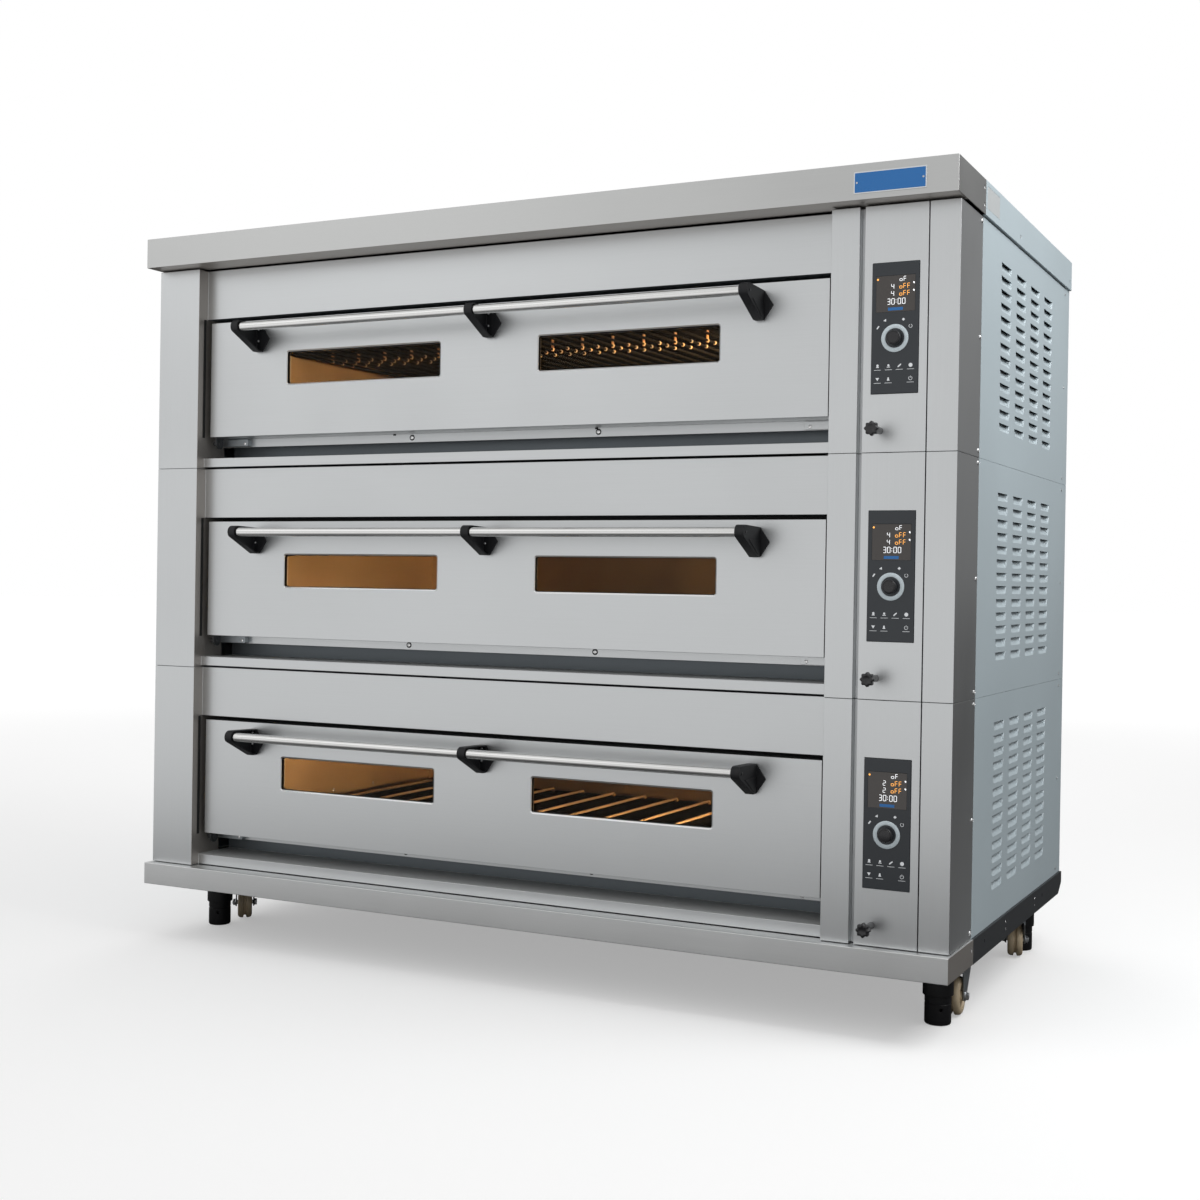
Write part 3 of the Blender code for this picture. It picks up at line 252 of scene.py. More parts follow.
def at(axis, level, a, b):
    """Point at a level along axis, with a and b along the two axes that follow it."""
    point = [0, 0, 0]
    point[axis], point[(axis + 1) % 3], point[(axis + 2) % 3] = level, a, b
    return tuple(point)


def bands(starts, n):
    """Quads between rings of n points that start at these indices."""
    return [(a + i, a + (i + 1) % n, b + (i + 1) % n, b + i) for a, b in zip(starts, starts[1:]) for i in range(n)]


def grid_mesh(boxes, cuts=()):
    """Union of boxes (x0, x1, y0, y1, z0, z1) less the cuts."""
    lines = [sorted({round(value, 7) for item in (*boxes, *cuts) for value in item[2 * a:2 * a + 2]})
             for a in range(3)]
    index = [{value: n for n, value in enumerate(line)} for line in lines]
    filled = np.zeros([len(line) + 1 for line in lines], dtype=bool)
    for items, state in ((boxes, True), (cuts, False)):
        for item in items:
            cells = [index[n // 2][round(value, 7)] + 1 for n, value in enumerate(item)]
            filled[tuple(slice(*cells[n:n + 2]) for n in (0, 2, 4))] = state
    vertices, faces, known = [], [], {}

    def corner(cell):
        if cell not in known:
            known[cell] = len(vertices)
            vertices.append(tuple(line[n - 1] for line, n in zip(lines, cell)))
        return known[cell]

    for axis in range(3):
        edge = np.diff(filled.astype(np.int8), axis=axis)
        for cell in zip(*np.nonzero(edge)):
            ring = []
            for a, b in ((0, 0), (1, 0), (1, 1), (0, 1)):
                ring.append(corner(tuple(int(p) + q for p, q in zip(cell, at(axis, 1, a, b)))))
            faces.append(tuple(reversed(ring)) if edge[cell] > 0 else tuple(ring))
    return vertices, faces


def tapered(near, far, low, high, axis):
    """Solid between two outlines with as many points each."""
    n = len(near)
    vertices = [at(axis, low, *spot) for spot in near] + [at(axis, high, *spot) for spot in far]
    return vertices, [tuple(range(n - 1, -1, -1)), tuple(range(n, 2 * n))] + bands((0, n), n)


def prism(outline, low, high, axis):
    """Outline extruded along axis; the outline runs in the two following axes."""
    return tapered(outline, outline, low, high, axis)


def framed(outer, inner, low, high, axis):
    """Ring between two outlines with as many points each, extruded along axis."""
    rings = ((outer, low), (inner, low), (inner, high), (outer, high))
    vertices = [at(axis, level, *spot) for outline, level in rings for spot in outline]
    n = len(outer)
    return vertices, bands((0, n, 2 * n, 3 * n, 0), n)


def turned(profile, axis, sign=1.0, segments=48, lobes=0, lobe=0.0):
    """Profile of (radius, height[, lobe share]) turned about axis."""
    vertices, faces, rings = [], [], []
    for radius, height, *share in profile:
        count = segments if radius else 1
        rings.append([len(vertices) + n % count for n in range(segments)])
        for n in range(count):
            angle = 2 * math.pi * n / segments
            reach = radius + sum(share) * lobe * math.cos(lobes * angle) if radius else 0.0
            vertices.append(at(axis, sign * height, reach * math.cos(angle), reach * math.sin(angle)))
    for below, above in zip(rings, rings[1:]):
        for n in range(segments):
            m = (n + 1) % segments
            faces.append(tuple(dict.fromkeys((below[n], below[m], above[m], above[n]))))
    return vertices, faces


def rod(radius, low, high, axis=0, segments=24):
    """Plain cylinder."""
    return turned(((0, low), (radius, low), (radius, high), (0, high)), axis, segments=segments)


def spun(angle, axis):
    """Rotation by an angle in degrees."""
    return Matrix.Rotation(math.radians(angle), 4, axis)


def moved(mesh, offset=(0, 0, 0), turn=None):
    """Mesh turned, then shifted."""
    place = Matrix.Translation(offset) @ (turn or Matrix())
    return [tuple(place @ Vector(point)) for point in mesh[0]], mesh[1]


def merged(meshes):
    """Several meshes as one."""
    points, faces = [], []
    for vertices, loops in meshes:
        faces += [tuple(i + len(points) for i in loop) for loop in loops]
        points += vertices
    return points, faces


def arc(a, b, radius, start, stop, steps):
    """Points along a circular arc, angles in degrees."""
    angles = [math.radians(start + (stop - start) * n / steps) for n in range(steps + 1)]
    return [(a + radius * math.cos(t), b + radius * math.sin(t)) for t in angles]


def rounded(x0, x1, y0, y1, r, steps=6):
    """Outline of a rectangle with round corners, counter-clockwise."""
    centres = ((x1 - r, y1 - r), (x0 + r, y1 - r), (x0 + r, y0 + r), (x1 - r, y0 + r))
    return [spot for n, (a, b) in enumerate(centres) for spot in arc(a, b, r, 90 * n, 90 * n + 90, steps)]


def swept(path, radius, sides=12):
    """Round bar along a path of points, its section carried without twist."""
    points = [Vector(point) for point in path]
    vertices, side = [], None
    for n, point in enumerate(points):
        ahead = (points[min(n + 1, len(points) - 1)] - points[max(n - 1, 0)]).normalized()
        if side is None:
            side = ahead.cross(Vector((0, 0, 1)))
            if side.length < 0.1:
                side = ahead.cross(Vector((0, 1, 0)))
        side = (side - ahead * side.dot(ahead)).normalized()
        up = side.cross(ahead)
        for k in range(sides):
            angle = 2 * math.pi * k / sides
            vertices.append(tuple(point + radius * (math.cos(angle) * side + math.sin(angle) * up)))
    last = len(vertices) - sides
    faces = bands(range(0, last + 1, sides), sides)
    return vertices, faces + [tuple(reversed(range(sides))), tuple(range(last, last + sides))]


def mesh_data(name, mesh, tidy=False):
    """Mesh with its faces turned outward and, if asked, its flat faces joined."""
    data = bpy.data.meshes.new(name)
    data.from_pydata(mesh[0], [], mesh[1])
    work = bmesh.new()
    work.from_mesh(data)
    bmesh.ops.recalc_face_normals(work, faces=work.faces)
    if tidy:
        bmesh.ops.dissolve_limit(work, angle_limit=0.002, verts=work.verts, edges=work.edges)
    work.to_mesh(data)
    work.free()
    return data


def placed(name, data):
    """Object linked to the scene."""
    made = bpy.data.objects.new(name, data)
    bpy.context.scene.collection.objects.link(made)
    return made


def piece(name, mesh, material, slot, stands_for=(), body="body", bevel=0.0, segments=3, angle=35, choose=None,
          tidy=True):
    """One visible piece riding on a CAD body."""
    data = mesh_data(name, mesh, tidy)
    for item in material if isinstance(material, list) else [material]:
        data.materials.append(item)
    if choose:
        for polygon in data.polygons:
            polygon.material_index = choose(polygon.center, polygon.normal)
    made = placed(name, data)
    data.shade_smooth()
    if bevel:
        soften = made.modifiers.new("soft_edges", "BEVEL")
        soften.width = bevel
        soften.segments = segments
        soften.limit_method = "ANGLE"
        soften.angle_limit = math.radians(30)
        soften.use_clamp_overlap = False
        soften.harden_normals = True
    else:
        data.set_sharp_from_angle(angle=math.radians(angle))
    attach(made, body)
    if stands_for:
        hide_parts(stands_for)
    return made


def deck_part(prefix, rides=""):
    """Piece maker that puts a deck's name before the names of the piece, its node and its body."""
    def part(name, mesh, material, slot, host="", body=rides, **look):
        return piece(f"{prefix}_{name}", mesh, material, slot, host and f"{prefix}_{host}",
                     f"{prefix}_{body}" if body else "body", **look)
    return part


def carved(made, cutters):
    """Piece with round or other holes cut through it, the result kept as its mesh."""
    tool = placed("cutter", mesh_data("cutter", merged(cutters)))
    modifier = made.modifiers.new("holes", "BOOLEAN")
    modifier.object = tool
    modifier.operation = "DIFFERENCE"
    modifier.solver = "EXACT"
    made.modifiers.move(len(made.modifiers) - 1, 0)
    others = made.modifiers[1:]
    for other in others:
        other.show_viewport = False
    bpy.context.view_layer.update()
    graph = bpy.context.evaluated_depsgraph_get()
    result = bpy.data.meshes.new_from_object(made.evaluated_get(graph))
    old = made.data
    made.modifiers.remove(made.modifiers[0])
    for other in made.modifiers:
        other.show_viewport = True
    made.data = result
    bpy.data.meshes.remove(old)
    bpy.data.objects.remove(tool)


def screw_mesh(radius=0.004, rise=0.0016):
    """Pan head with a cross recess, its axis along +Z."""
    steps = (0.0, 0.12, 0.26, 0.40, 0.52, 0.60, 0.78, 0.92, 1.0)
    circle = arc(0, 0, 1, 0, 348.75, 31)
    vertices = []
    for share in steps:
        for a, b in circle:
            x, y = share * a, share * b
            height = rise * math.sqrt(max(0.0, 1 - 0.80 * share ** 2.6))
            if min(abs(x), abs(y)) < 0.13 and share < 0.55:
                height -= rise * 0.55
            vertices.append((x * radius, y * radius, height))
    base = len(vertices)
    vertices += [(radius * a, radius * b, -0.0004) for a, b in circle]
    return vertices, bands(range(0, base + 1, 32), 32) + [tuple(base + n for n in reversed(range(32)))]


FACING = {"-y": spun(90, "X"), "+y": spun(-90, "X"), "+x": spun(90, "Y"), "-x": spun(-90, "Y")}


def heads(mesh, spots, facing):
    """Copies of a screw head on a surface, each turned a little farther."""
    return merged([moved(mesh, spot, FACING[facing] @ spun(17 + 41 * n, "Z")) for n, spot in enumerate(spots)])


def screws(name, spots, facing, body="body", radius=0.004, rise=0.0016, material=zinc):
    """A set of screw heads on one surface."""
    piece(name, heads(screw_mesh(radius, rise), spots, facing), material, "zinc", body=body, angle=40, tidy=False)


def sunk_screws(name, host, spots, facing, radius=0.0035, depth=0.0012, material=zinc):
    """Screw heads sunk level with the surface of the piece that holds them."""
    well = turned(((0, -depth), (radius + 0.0004, -depth), (radius + 0.0006, 0.001), (0, 0.001)), 2, segments=20)
    carved(host, [moved(well, spot, FACING[facing]) for spot in spots])
    head = moved(screw_mesh(radius, depth * 0.85), (0, 0, -depth * 0.95))
    piece(name, heads(head, spots, facing), material, "zinc", angle=40, tidy=False)


def raised(outlines, y, rise):
    """Flat outlines in the (x, z) plane raised towards -Y."""
    solids = [prism([(x, -z) for x, z in outline], 0, rise, 2) for outline in outlines]
    return merged([moved(solid, (0, y - rise, 0), FACING["+y"]) for solid in solids])


def hexagon(radius, low, high, axis=2):
    """Hexagonal head or nut."""
    return prism(arc(0, 0, radius, 30, 330, 5), low, high, axis)


def mirror_spans(low, high):
    """The x span of a feature and its mirror image."""
    return ((low, high), (-high, -low))


# ---------------------------------------------------------------- cap, base and casing


def build_cap():
    """Stainless cap band, painted cover, their fixings and the bare plates."""
    y_band = Y_FRONT - 0.041
    y_cover = Y_RETURN + CLEAR
    z_lip = Z_CAP + SHEET
    band = [
        (-WIDE, WIDE, y_band, Y_RETURN, Z_TOP - SHEET, Z_TOP),
        (-WIDE, WIDE, y_band, y_band + SHEET, Z_CAP, Z_TOP),
        (-WIDE, WIDE, y_band, Y_FRONT + 0.0285, Z_CAP, z_lip),
    ]
    cover = [
        (-WIDE, WIDE, y_cover, Y_BACK, Z_TOP - SHEET, Z_TOP),
        (-WIDE, WIDE, Y_BACK - SHEET, Y_BACK, Z_CAP, Z_TOP),
        (-WIDE, WIDE, Y_BACK - 0.035, Y_BACK, Z_CAP, z_lip),
    ]
    for span in mirror_spans(WIDE - SHEET, WIDE):
        band.append((*span, y_band, Y_RETURN, Z_CAP, Z_TOP))
        cover.append((*span, y_cover, Y_BACK, Z_CAP, Z_TOP))
    cover += [(*span, y_cover, Y_BACK, Z_CAP, z_lip) for span in mirror_spans(WIDE - 0.035, WIDE)]
    pocket = (WIDE - 0.0006, WIDE, Y_RETURN + 0.012, Y_RETURN + 0.112, Z_CAP + 0.014, Z_CAP + 0.056)
    tag = (WIDE - 0.0006, WIDE - 0.0001, Y_RETURN + 0.0122, Y_RETURN + 0.1118, Z_CAP + 0.0142, Z_CAP + 0.0558)
    # The band's downward faces take the dim steel: painted shade.
    front = piece("cap_front_band", grid_mesh(band), [steel_cap, steel_painted_dim], "front_stainless", "cap_front",
                  choose=lambda centre, normal: 1 if normal.z < -0.9 else 0, bevel=0.0011)
    top = piece("cap_cover", grid_mesh(cover, [pocket]), paint, "grey_paint", "top_cover", bevel=0.0005)
    piece("cap_side_plate", grid_mesh([tag]), plate_pale, "front_stainless", bevel=0.0001, segments=1)
    x0, x1, z0 = 0.746, 0.882, Z_CAP + 0.011
    for name, inset, corner, rise, finish, bevel in (
        ("cap_plate_rim", 0.0, 0.002, 0.0012, plate_silver, 0.0004),
        ("cap_plate_field", 0.002, 0.0012, 0.0014, plate_blue, 0.0003),
    ):
        plate = prism(rounded(x0 + inset, x1 - inset, z0 + inset, z0 + 0.040 - inset, corner), 0, rise, 2)
        piece(name, moved(plate, (0, y_band, 0), FACING["-y"]), finish, "front_stainless", bevel=bevel, segments=2)
    spots = [(x, y_band - 0.0014, z0 + 0.020) for x in (x0 + 0.006, x1 - 0.006)]
    screws("cap_plate_rivets", spots, "-y", radius=0.0018, rise=0.0007)
    for label, side, facing in SIDES:
        spots = [(side * WIDE, Y_RETURN - 0.0125, z) for z in (Z_CAP + 0.0165, Z_CAP + 0.0495)]
        sunk_screws(f"cap_screws_{label}", front, spots, facing)
        spots = [(side * WIDE, y, Z_CAP + 0.018) for y in (Y_RETURN + 0.30, Y_BACK - 0.020)]
        sunk_screws(f"cover_screws_{label}", top, spots, facing)
    spots = [(x, Y_BACK, Z_CAP + 0.018) for x in (-0.90, -0.45, 0.0, 0.45, 0.90)]
    sunk_screws("cover_screws_back", top, spots, "+y")


def build_base():
    """Stainless base band with its side returns and fixings."""
    y_band = Y_FRONT - 0.022
    band = [
        (-WIDE, WIDE, y_band, y_band + SHEET, BASE_BOTTOM, Z_BASE),
        (-WIDE, WIDE, y_band, Y_FRONT + 0.0236, Z_BASE - SHEET, Z_BASE),
    ]
    band += [(*span, y_band, Y_RETURN, BASE_BOTTOM, Z_BASE) for span in mirror_spans(WIDE - SHEET, WIDE)]
    band += [(*span, y_band, Y_RETURN, Z_BASE - SHEET, Z_BASE) for span in mirror_spans(HALF - 0.012, WIDE)]
    # The band's side returns take the dim steel: painted shade and dark reflection.
    made = piece("base_front_band", grid_mesh(band), [steel_base, steel_painted_dim], "front_stainless", "base_front",
                 choose=lambda centre, normal: 1 if abs(normal.x) > 0.9 else 0, bevel=0.0011)
    for label, side, facing in SIDES:
        sunk_screws(f"base_screws_{label}", made, [(side * WIDE, Y_RETURN - 0.012, 0.150)], facing, 0.0042,
                    material=screw_bright)


def build_rails():
    """Dark rail frame with its holes, slots, chamfered rear corners, pads and bolts."""
    wall = 0.004
    y_inner = Y_FRONT - 0.022 + SHEET + CLEAR
    y_rail = Y_RETURN + CLEAR
    y_beam = Y_BACK - 0.040
    x_inner = WIDE - SHEET - CLEAR
    z_inner = Z_BASE - SHEET - CLEAR
    rails = [
        (-x_inner, x_inner, y_inner, y_inner + wall, BASE_BOTTOM, z_inner),
        (-x_inner, x_inner, y_inner, y_beam, BASE_BOTTOM, BASE_BOTTOM + SHEET),
        (-WIDE, WIDE, y_beam - wall, y_beam, BASE_BOTTOM, Z_BASE),
        (-WIDE, WIDE, y_beam - wall, Y_BACK, Z_BASE - wall, Z_BASE),
    ]
    for low, high, *rest in (
        (x_inner - 0.112, x_inner, y_inner, y_beam, BASE_BOTTOM, BASE_BOTTOM + wall),
        (x_inner - wall, x_inner, y_inner, y_beam, BASE_BOTTOM, z_inner),
        (x_inner - wall, WIDE, y_rail, Y_BACK, BASE_BOTTOM, Z_BASE),
        (WIDE - 0.030, WIDE, y_rail, Y_BACK, Z_BASE - wall, Z_BASE),
    ):
        rails += [(*span, *rest) for span in mirror_spans(low, high)]
    bolt = hexagon(0.0052, -0.0034, 0.0)
    bolts = []
    for _, x, y, _ in CASTERS:
        rails.append((x - 0.032, x + 0.032, y - 0.032, y + 0.032, BASE_BOTTOM - wall, BASE_BOTTOM + wall))
        bolts += [moved(bolt, (x + a, y + b, BASE_BOTTOM - wall)) for a in (-0.024, 0.024) for b in (-0.024, 0.024)]
    made = piece("base_rails", grid_mesh(rails), paint_dark, "dark_paint", "base_frame", bevel=0.0005)
    wedge = ((Y_BACK - 0.034, BASE_BOTTOM), (Y_BACK - 0.034, BASE_BOTTOM - wall), (Y_BACK + wall, BASE_BOTTOM - wall),
             (Y_BACK + wall, BASE_BOTTOM + 0.022), (Y_BACK, BASE_BOTTOM + 0.022))
    stem = rod(0.0103, -0.006, 0.010, 2, 32)
    hole = prism(rounded(-0.0028, 0.0028, -0.0042, 0.0042, 0.0027), -0.008, 0.004, 0)
    cuts = [prism(wedge, -WIDE - SHEET, WIDE + SHEET, 0)]
    cuts += [moved(stem, (x, y, BASE_BOTTOM)) for _, x, y in FEET]
    cuts += [moved(hole, (x, y, 0.148)) for x in (WIDE, wall - WIDE) for y in (-0.2234, 0.3167)]
    carved(made, cuts)
    piece("caster_pad_bolts", merged(bolts), zinc_dark, "zinc", bevel=0.0005, segments=2)
    for label, side, facing in SIDES:
        spots = [(side * WIDE, y, z) for y in (-0.041, 0.24) for z in (0.1385, 0.1530)]
        sunk_screws(f"rail_rivets_{label}", made, spots, facing, 0.0033, material=screw_bright)


def build_feet():
    """Levelling feet: sleeve, ring groove, foot with a cross hole and threaded stem."""
    top = BASE_BOTTOM - CLEAR
    profile = mm((0, 0), (21.5, 0), (23.8, 0.8), (25.1, 2.6), (25.5, 5), (25.5, 39.5), (24.8, 40.2), (24.8, 42.4),
                 (25.5, 43.1), (25.5, 55.7), (28.6, 55.7), (29.3, 56.5))
    profile += [(0.0293, top - 0.002), (0.0286, top), (0.0088, top)]
    for n in range(24):
        z = top + 0.001 + n * 0.0014
        profile += [(0.0088, z), (0.0099, z + 0.0007)]
    profile += [(0.0088, top + 0.036), (0, top + 0.036)]
    foot = turned(profile, 2, segments=64)
    bore = rod(0.0034, 0.012, 0.030)
    for corner, x, y in FEET:
        made = piece(f"leveller_{corner}", moved(foot, (x, y, 0)), foot_plastic, "foot_black", f"foot_{corner}",
                     f"foot_{corner}", angle=40)
        carved(made, [moved(bore, (x, y, 0.031), spun(-61, "Z"))])


def build_casters():
    """Swivel casters: swivel bearing, folded fork, axle bolt and grooved wheel."""
    axle, crown, head = 0.0385, 0.085, BASE_BOTTOM - 0.004 - CLEAR
    trail, inside, outside = 0.028, 0.019, 0.022
    cheek = [(-0.0215, crown + 0.0035), (-0.0222, crown - 0.004)]
    cheek += arc(trail, axle, 0.0105, 205, 345, 14)
    cheek += [(trail + 0.0168, crown - 0.010), (trail + 0.0187, crown - 0.002), (trail + 0.0180, crown + 0.0035)]
    plate = rounded(-outside, outside, -0.022, trail + 0.0185, 0.005)
    race = mm((0, 0), (20.5, 0), (21.5, 1), (21.8, 5), (20.6, 6.8), (18.6, 7.6), (18.6, 10.4), (20.4, 11.2),
              (21.8, 12.8), (22, 19), (20.6, 21.6), (19, 22.2))
    bearing = turned([(r, crown + h) for r, h in race]
                     + [(0.0190, head - 0.0020), (0.0218, head - 0.0016), (0.0220, head), (0, head)], 2)
    button = mm((0, -2.2), (5, -2.2), (6.8, -0.8), (7, 1), (0, 1))
    rivet = turned([(r, crown + h) for r, h in button], 2, segments=32)
    shank = mm((0, -23), (5, -23), (5, 27.5), (4.4, 27.6), (5, 27.9), (4.4, 28.3), (5, 28.6), (4.4, 29), (5, 29.3),
               (4, 30), (0, 30))
    washers = [turned(((0, a), (0.0088, a), (0.0092, (a + b) / 2), (0.0088, b), (0, b)), 0, segments=32)
               for a, b in ((0.0220, 0.0232), (-0.0232, -0.0220))]
    nuts = [hexagon(0.0078, 0.0232, 0.0282, 0), hexagon(0.0078, -0.0284, -0.0232, 0)]
    flank = mm((5.3, -17), (10, -17), (10.4, -15.8), (11.2, -13), (24, -12.4), (25.2, -13.4), (26.2, -16.2),
               (29.2, -16.8), (33.2, -16), (36, -13.6), (37.2, -10), (37.5, -5), (37, -3.8), (31.8, -2.6))
    tyre = turned(flank + [(0.031, 0)] + [(r, -h) for r, h in reversed(flank)] + [flank[0]], 0, segments=72)
    low = (0, trail, axle)
    for corner, x, y, angle in CASTERS:

        def part(name, mesh, material, shift=(0, 0, 0), host=(), body=f"caster_{corner}", slot="zinc", **look):
            return piece(f"{name}_{corner}", moved(moved(mesh, shift), (x, y, 0), spun(angle, "Z")), material, slot,
                         host, body, **look)

        part("fork_cheek_left", prism(cheek, -outside, -inside, 0), zinc_fork, host=f"caster_fork_{corner}",
             bevel=0.0009)
        part("fork_cheek_right", prism(cheek, inside, outside, 0), zinc_fork, bevel=0.0009)
        part("fork_crown", prism(plate, crown, crown + 0.0035, 2), zinc_fork, bevel=0.0009)
        part("fork_bearing", bearing, zinc)
        part("fork_rivet", rivet, zinc)
        part("axle_bolt", turned(shank, 0, segments=24), zinc, low)
        part("axle_washers", merged(washers), zinc, low)
        part("axle_nuts", merged(nuts), zinc, low, bevel=0.0006, segments=2)
        part("wheel_tyre", tyre, nylon, low, f"caster_wheel_{corner}", f"wheel_{corner}", "wheel_nylon")


def build_casing():
    """Painted left side, back and rear corner strip with a seam at each deck."""
    walls = []
    for deck in range(3):
        seam = Z_BASE + deck * PITCH
        span = (seam + CLEAR, seam + PITCH - CLEAR if deck < 2 else Z_CAP - CLEAR)
        walls += [(-HALF, -HALF + SHEET, Y_RETURN + CLEAR, Y_BACK, *span), (-HALF, HALF, Y_BACK - SHEET, Y_BACK, *span),
                  (HALF - SHEET, HALF, Y_BACK - 0.043, Y_BACK, *span)]
    made = piece("casing_sheets", grid_mesh(walls), paint, "grey_paint", "casing", bevel=0.0005)
    for deck, prefix in enumerate(DECKS):
        seam = Z_BASE + deck * PITCH
        spots = [(x, Y_BACK, seam + h) for x in (-0.915, -0.46, 0.0, 0.46, 0.915) for h in (0.016, 0.439)]
        sunk_screws(f"{prefix}_back_screws", made, spots, "+y", 0.0038)
        spots = [(-HALF, y, seam + h) for y in (Y_RETURN + 0.012, 0.11, Y_BACK - 0.016) for h in (0.016, 0.225, 0.439)]
        screws(f"{prefix}_left_screws", spots, "-x", radius=0.0038)


def recoloured():
    """Finishes of the CAD nodes that stay."""
    for name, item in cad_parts.items():
        for place in item.material_slots:
            place.material = pane if name.endswith("_door_glass") else steel_x


# ---------------------------------------------------------------- deck fronts


def upright(centre, normal):
    """Material index: 1 for the posts, 2 for undersides and the recess's back (painted deep shade), 3 for the jambs
    (painted shade and dark reflection), 4 for the sill's top (painted light).
    """
    jamb = min(abs(centre.x - X_JAMB_LEFT), abs(centre.x - X_JAMB_RIGHT))
    if jamb < 0.0005 and abs(normal.x) > 0.9:
        return 3
    if centre.x < X_JAMB_LEFT + 0.001 or centre.x > X_JAMB_RIGHT - 0.001:
        return 1
    if normal.z > 0.9 and Y_DOOR < centre.y < Y_FACE + 0.030 and (centre.z - Z_BASE) % PITCH < 0.03:
        return 4
    return 2 if normal.z < -0.9 or centre.y > Y_FACE + 0.030 and abs(normal.y) > 0.9 else 0


def build_front(seam, prefix):
    """Posts, fascia, sill, mullion, control plate and corner post of one deck."""
    part = deck_part(prefix)
    lowest = prefix == DECKS[0]
    z0, z1 = seam + (0.0014 if lowest else CLEAR), seam + PITCH - CLEAR
    fascia = seam + FASCIA
    left, right = X_JAMB_LEFT - SHEET, X_JAMB_RIGHT + SHEET
    slit_left, slit_right = X_SEAM - 0.0009, X_SEAM + 0.0009
    y_skin, y_groove = Y_FRONT + SHEET, Y_FRONT + 0.020
    y_sill, z_sill = Y_FRONT + 0.024, seam + 0.024
    y_riser, z_riser = Y_FACE + 0.040, seam + CAVITY_FLOOR - 0.003 - CLEAR
    sheets = [(*span, z0, z1) for span in (
        (-HALF, X_JAMB_LEFT, Y_FRONT, y_skin),
        (-HALF, -HALF + SHEET, Y_FRONT, Y_RETURN),
        (left, X_JAMB_LEFT, Y_FRONT, Y_FACE),
        (X_JAMB_RIGHT, right, Y_FRONT, Y_FACE),
        (X_JAMB_RIGHT, X_MULLION, Y_FRONT, y_skin),
        (X_MULLION - SHEET, X_MULLION, Y_FRONT, y_groove),
        (X_MULLION - SHEET, X_COLUMN + SHEET, y_groove - SHEET, y_groove),
        (X_COLUMN, X_COLUMN + SHEET, Y_FRONT, y_groove),
        (X_COLUMN, slit_left, Y_FRONT, y_skin),
        (slit_left - SHEET, slit_left, Y_FRONT, y_groove),
        (slit_right, slit_right + SHEET, Y_FRONT, y_groove),
        (slit_left - SHEET, slit_right + SHEET, y_groove - SHEET, y_groove),
        (slit_right, HALF, Y_FRONT, y_skin),
        (HALF - SHEET, HALF, Y_FRONT, Y_RETURN),
    )]
    sheets += [(left, right, *span) for span in (
        (Y_DOOR, Y_DOOR + SHEET, fascia, z1),
        (Y_DOOR, Y_FACE, fascia, fascia + SHEET),
        (Y_DOOR, Y_FACE, z1 - SHEET, z1),
        (y_sill, y_sill + SHEET, seam + (0.0012 if lowest else 0.0035), z_sill),
        (y_sill, y_riser, z_sill - SHEET, z_sill),
        (y_riser - SHEET, y_riser, z_sill - SHEET, z_riser),
    )]
    reach, z_panel = PANEL_HALF + CLEAR, seam + PANEL_RISE
    window = (X_PANEL - reach, X_PANEL + reach, Y_FRONT, y_skin, z_panel - CLEAR, z_panel + PANEL_TALL + CLEAR)
    made = part("front_sheets", grid_mesh(sheets, [window]), [steel_x, steel_z, steel_shade, steel_painted_dim, sill_steel_lit],
                "front_stainless", "front_frame", bevel=0.0009, choose=upright)
    pin, bore = rod(0.005, -0.004, 0.004), rod(0.0043, -0.004, 0.004, 1)
    holes = [moved(pin, (x, Y_PIVOT, seam + DOOR_BOTTOM - PIVOT_DROP))
             for x in (X_JAMB_LEFT - 0.001, X_JAMB_RIGHT + 0.001)]
    carved(made, [*holes, moved(bore, (X_DAMPER, Y_FRONT + 0.001, seam + DAMPER_RISE))])
    for label, x0, x_head, y_plate, finish in (
        ("left", X_JAMB_LEFT + 0.003, X_JAMB_LEFT + 0.072, Y_FACE - 0.014, zinc_fork),
        ("right", X_JAMB_RIGHT - 0.080, X_JAMB_RIGHT - 0.068, Y_FACE - 0.003, steel_x),
    ):
        outline = rounded(x0, x0 + 0.077, seam + 0.0552, seam + 0.0715, 0.002, 4)
        part(f"hinge_plate_{label}", raised([outline], Y_FACE, Y_FACE - y_plate), finish, "zinc", bevel=0.0008)
        screws(f"{prefix}_hinge_screw_{label}", [(x_head, y_plate, seam + 0.0612)], "-y", radius=0.0036,
               material=screw_bright)
    spots = [(x, Y_FACE + CLEAR, seam + 0.0645) for x in (-0.297, 0.1618, 0.6235)]
    screws(f"{prefix}_face_screws", spots, "-y", radius=0.0042, rise=0.002, material=screw_bright)
    # Black rings behind the face screws are painted shadows; the black patches at the notches are painted shade in the
    # openings.
    shadow = rod(0.0064, -0.0002, 0.0003, 2, 32)
    part("face_screw_rings", merged([moved(shadow, spot, FACING["-y"]) for spot in spots]), shade_black_painted,
         "black_plastic", tidy=False)
    notches = [(x - 0.0035, x + 0.0035, Y_FACE - 0.0004, Y_FACE + CLEAR, seam + 0.070, seam + 0.076)
               for x in (-0.343, 0.157)]
    part("face_notches", grid_mesh(notches), shade_black_painted, "black_plastic", bevel=0.0001, segments=1)
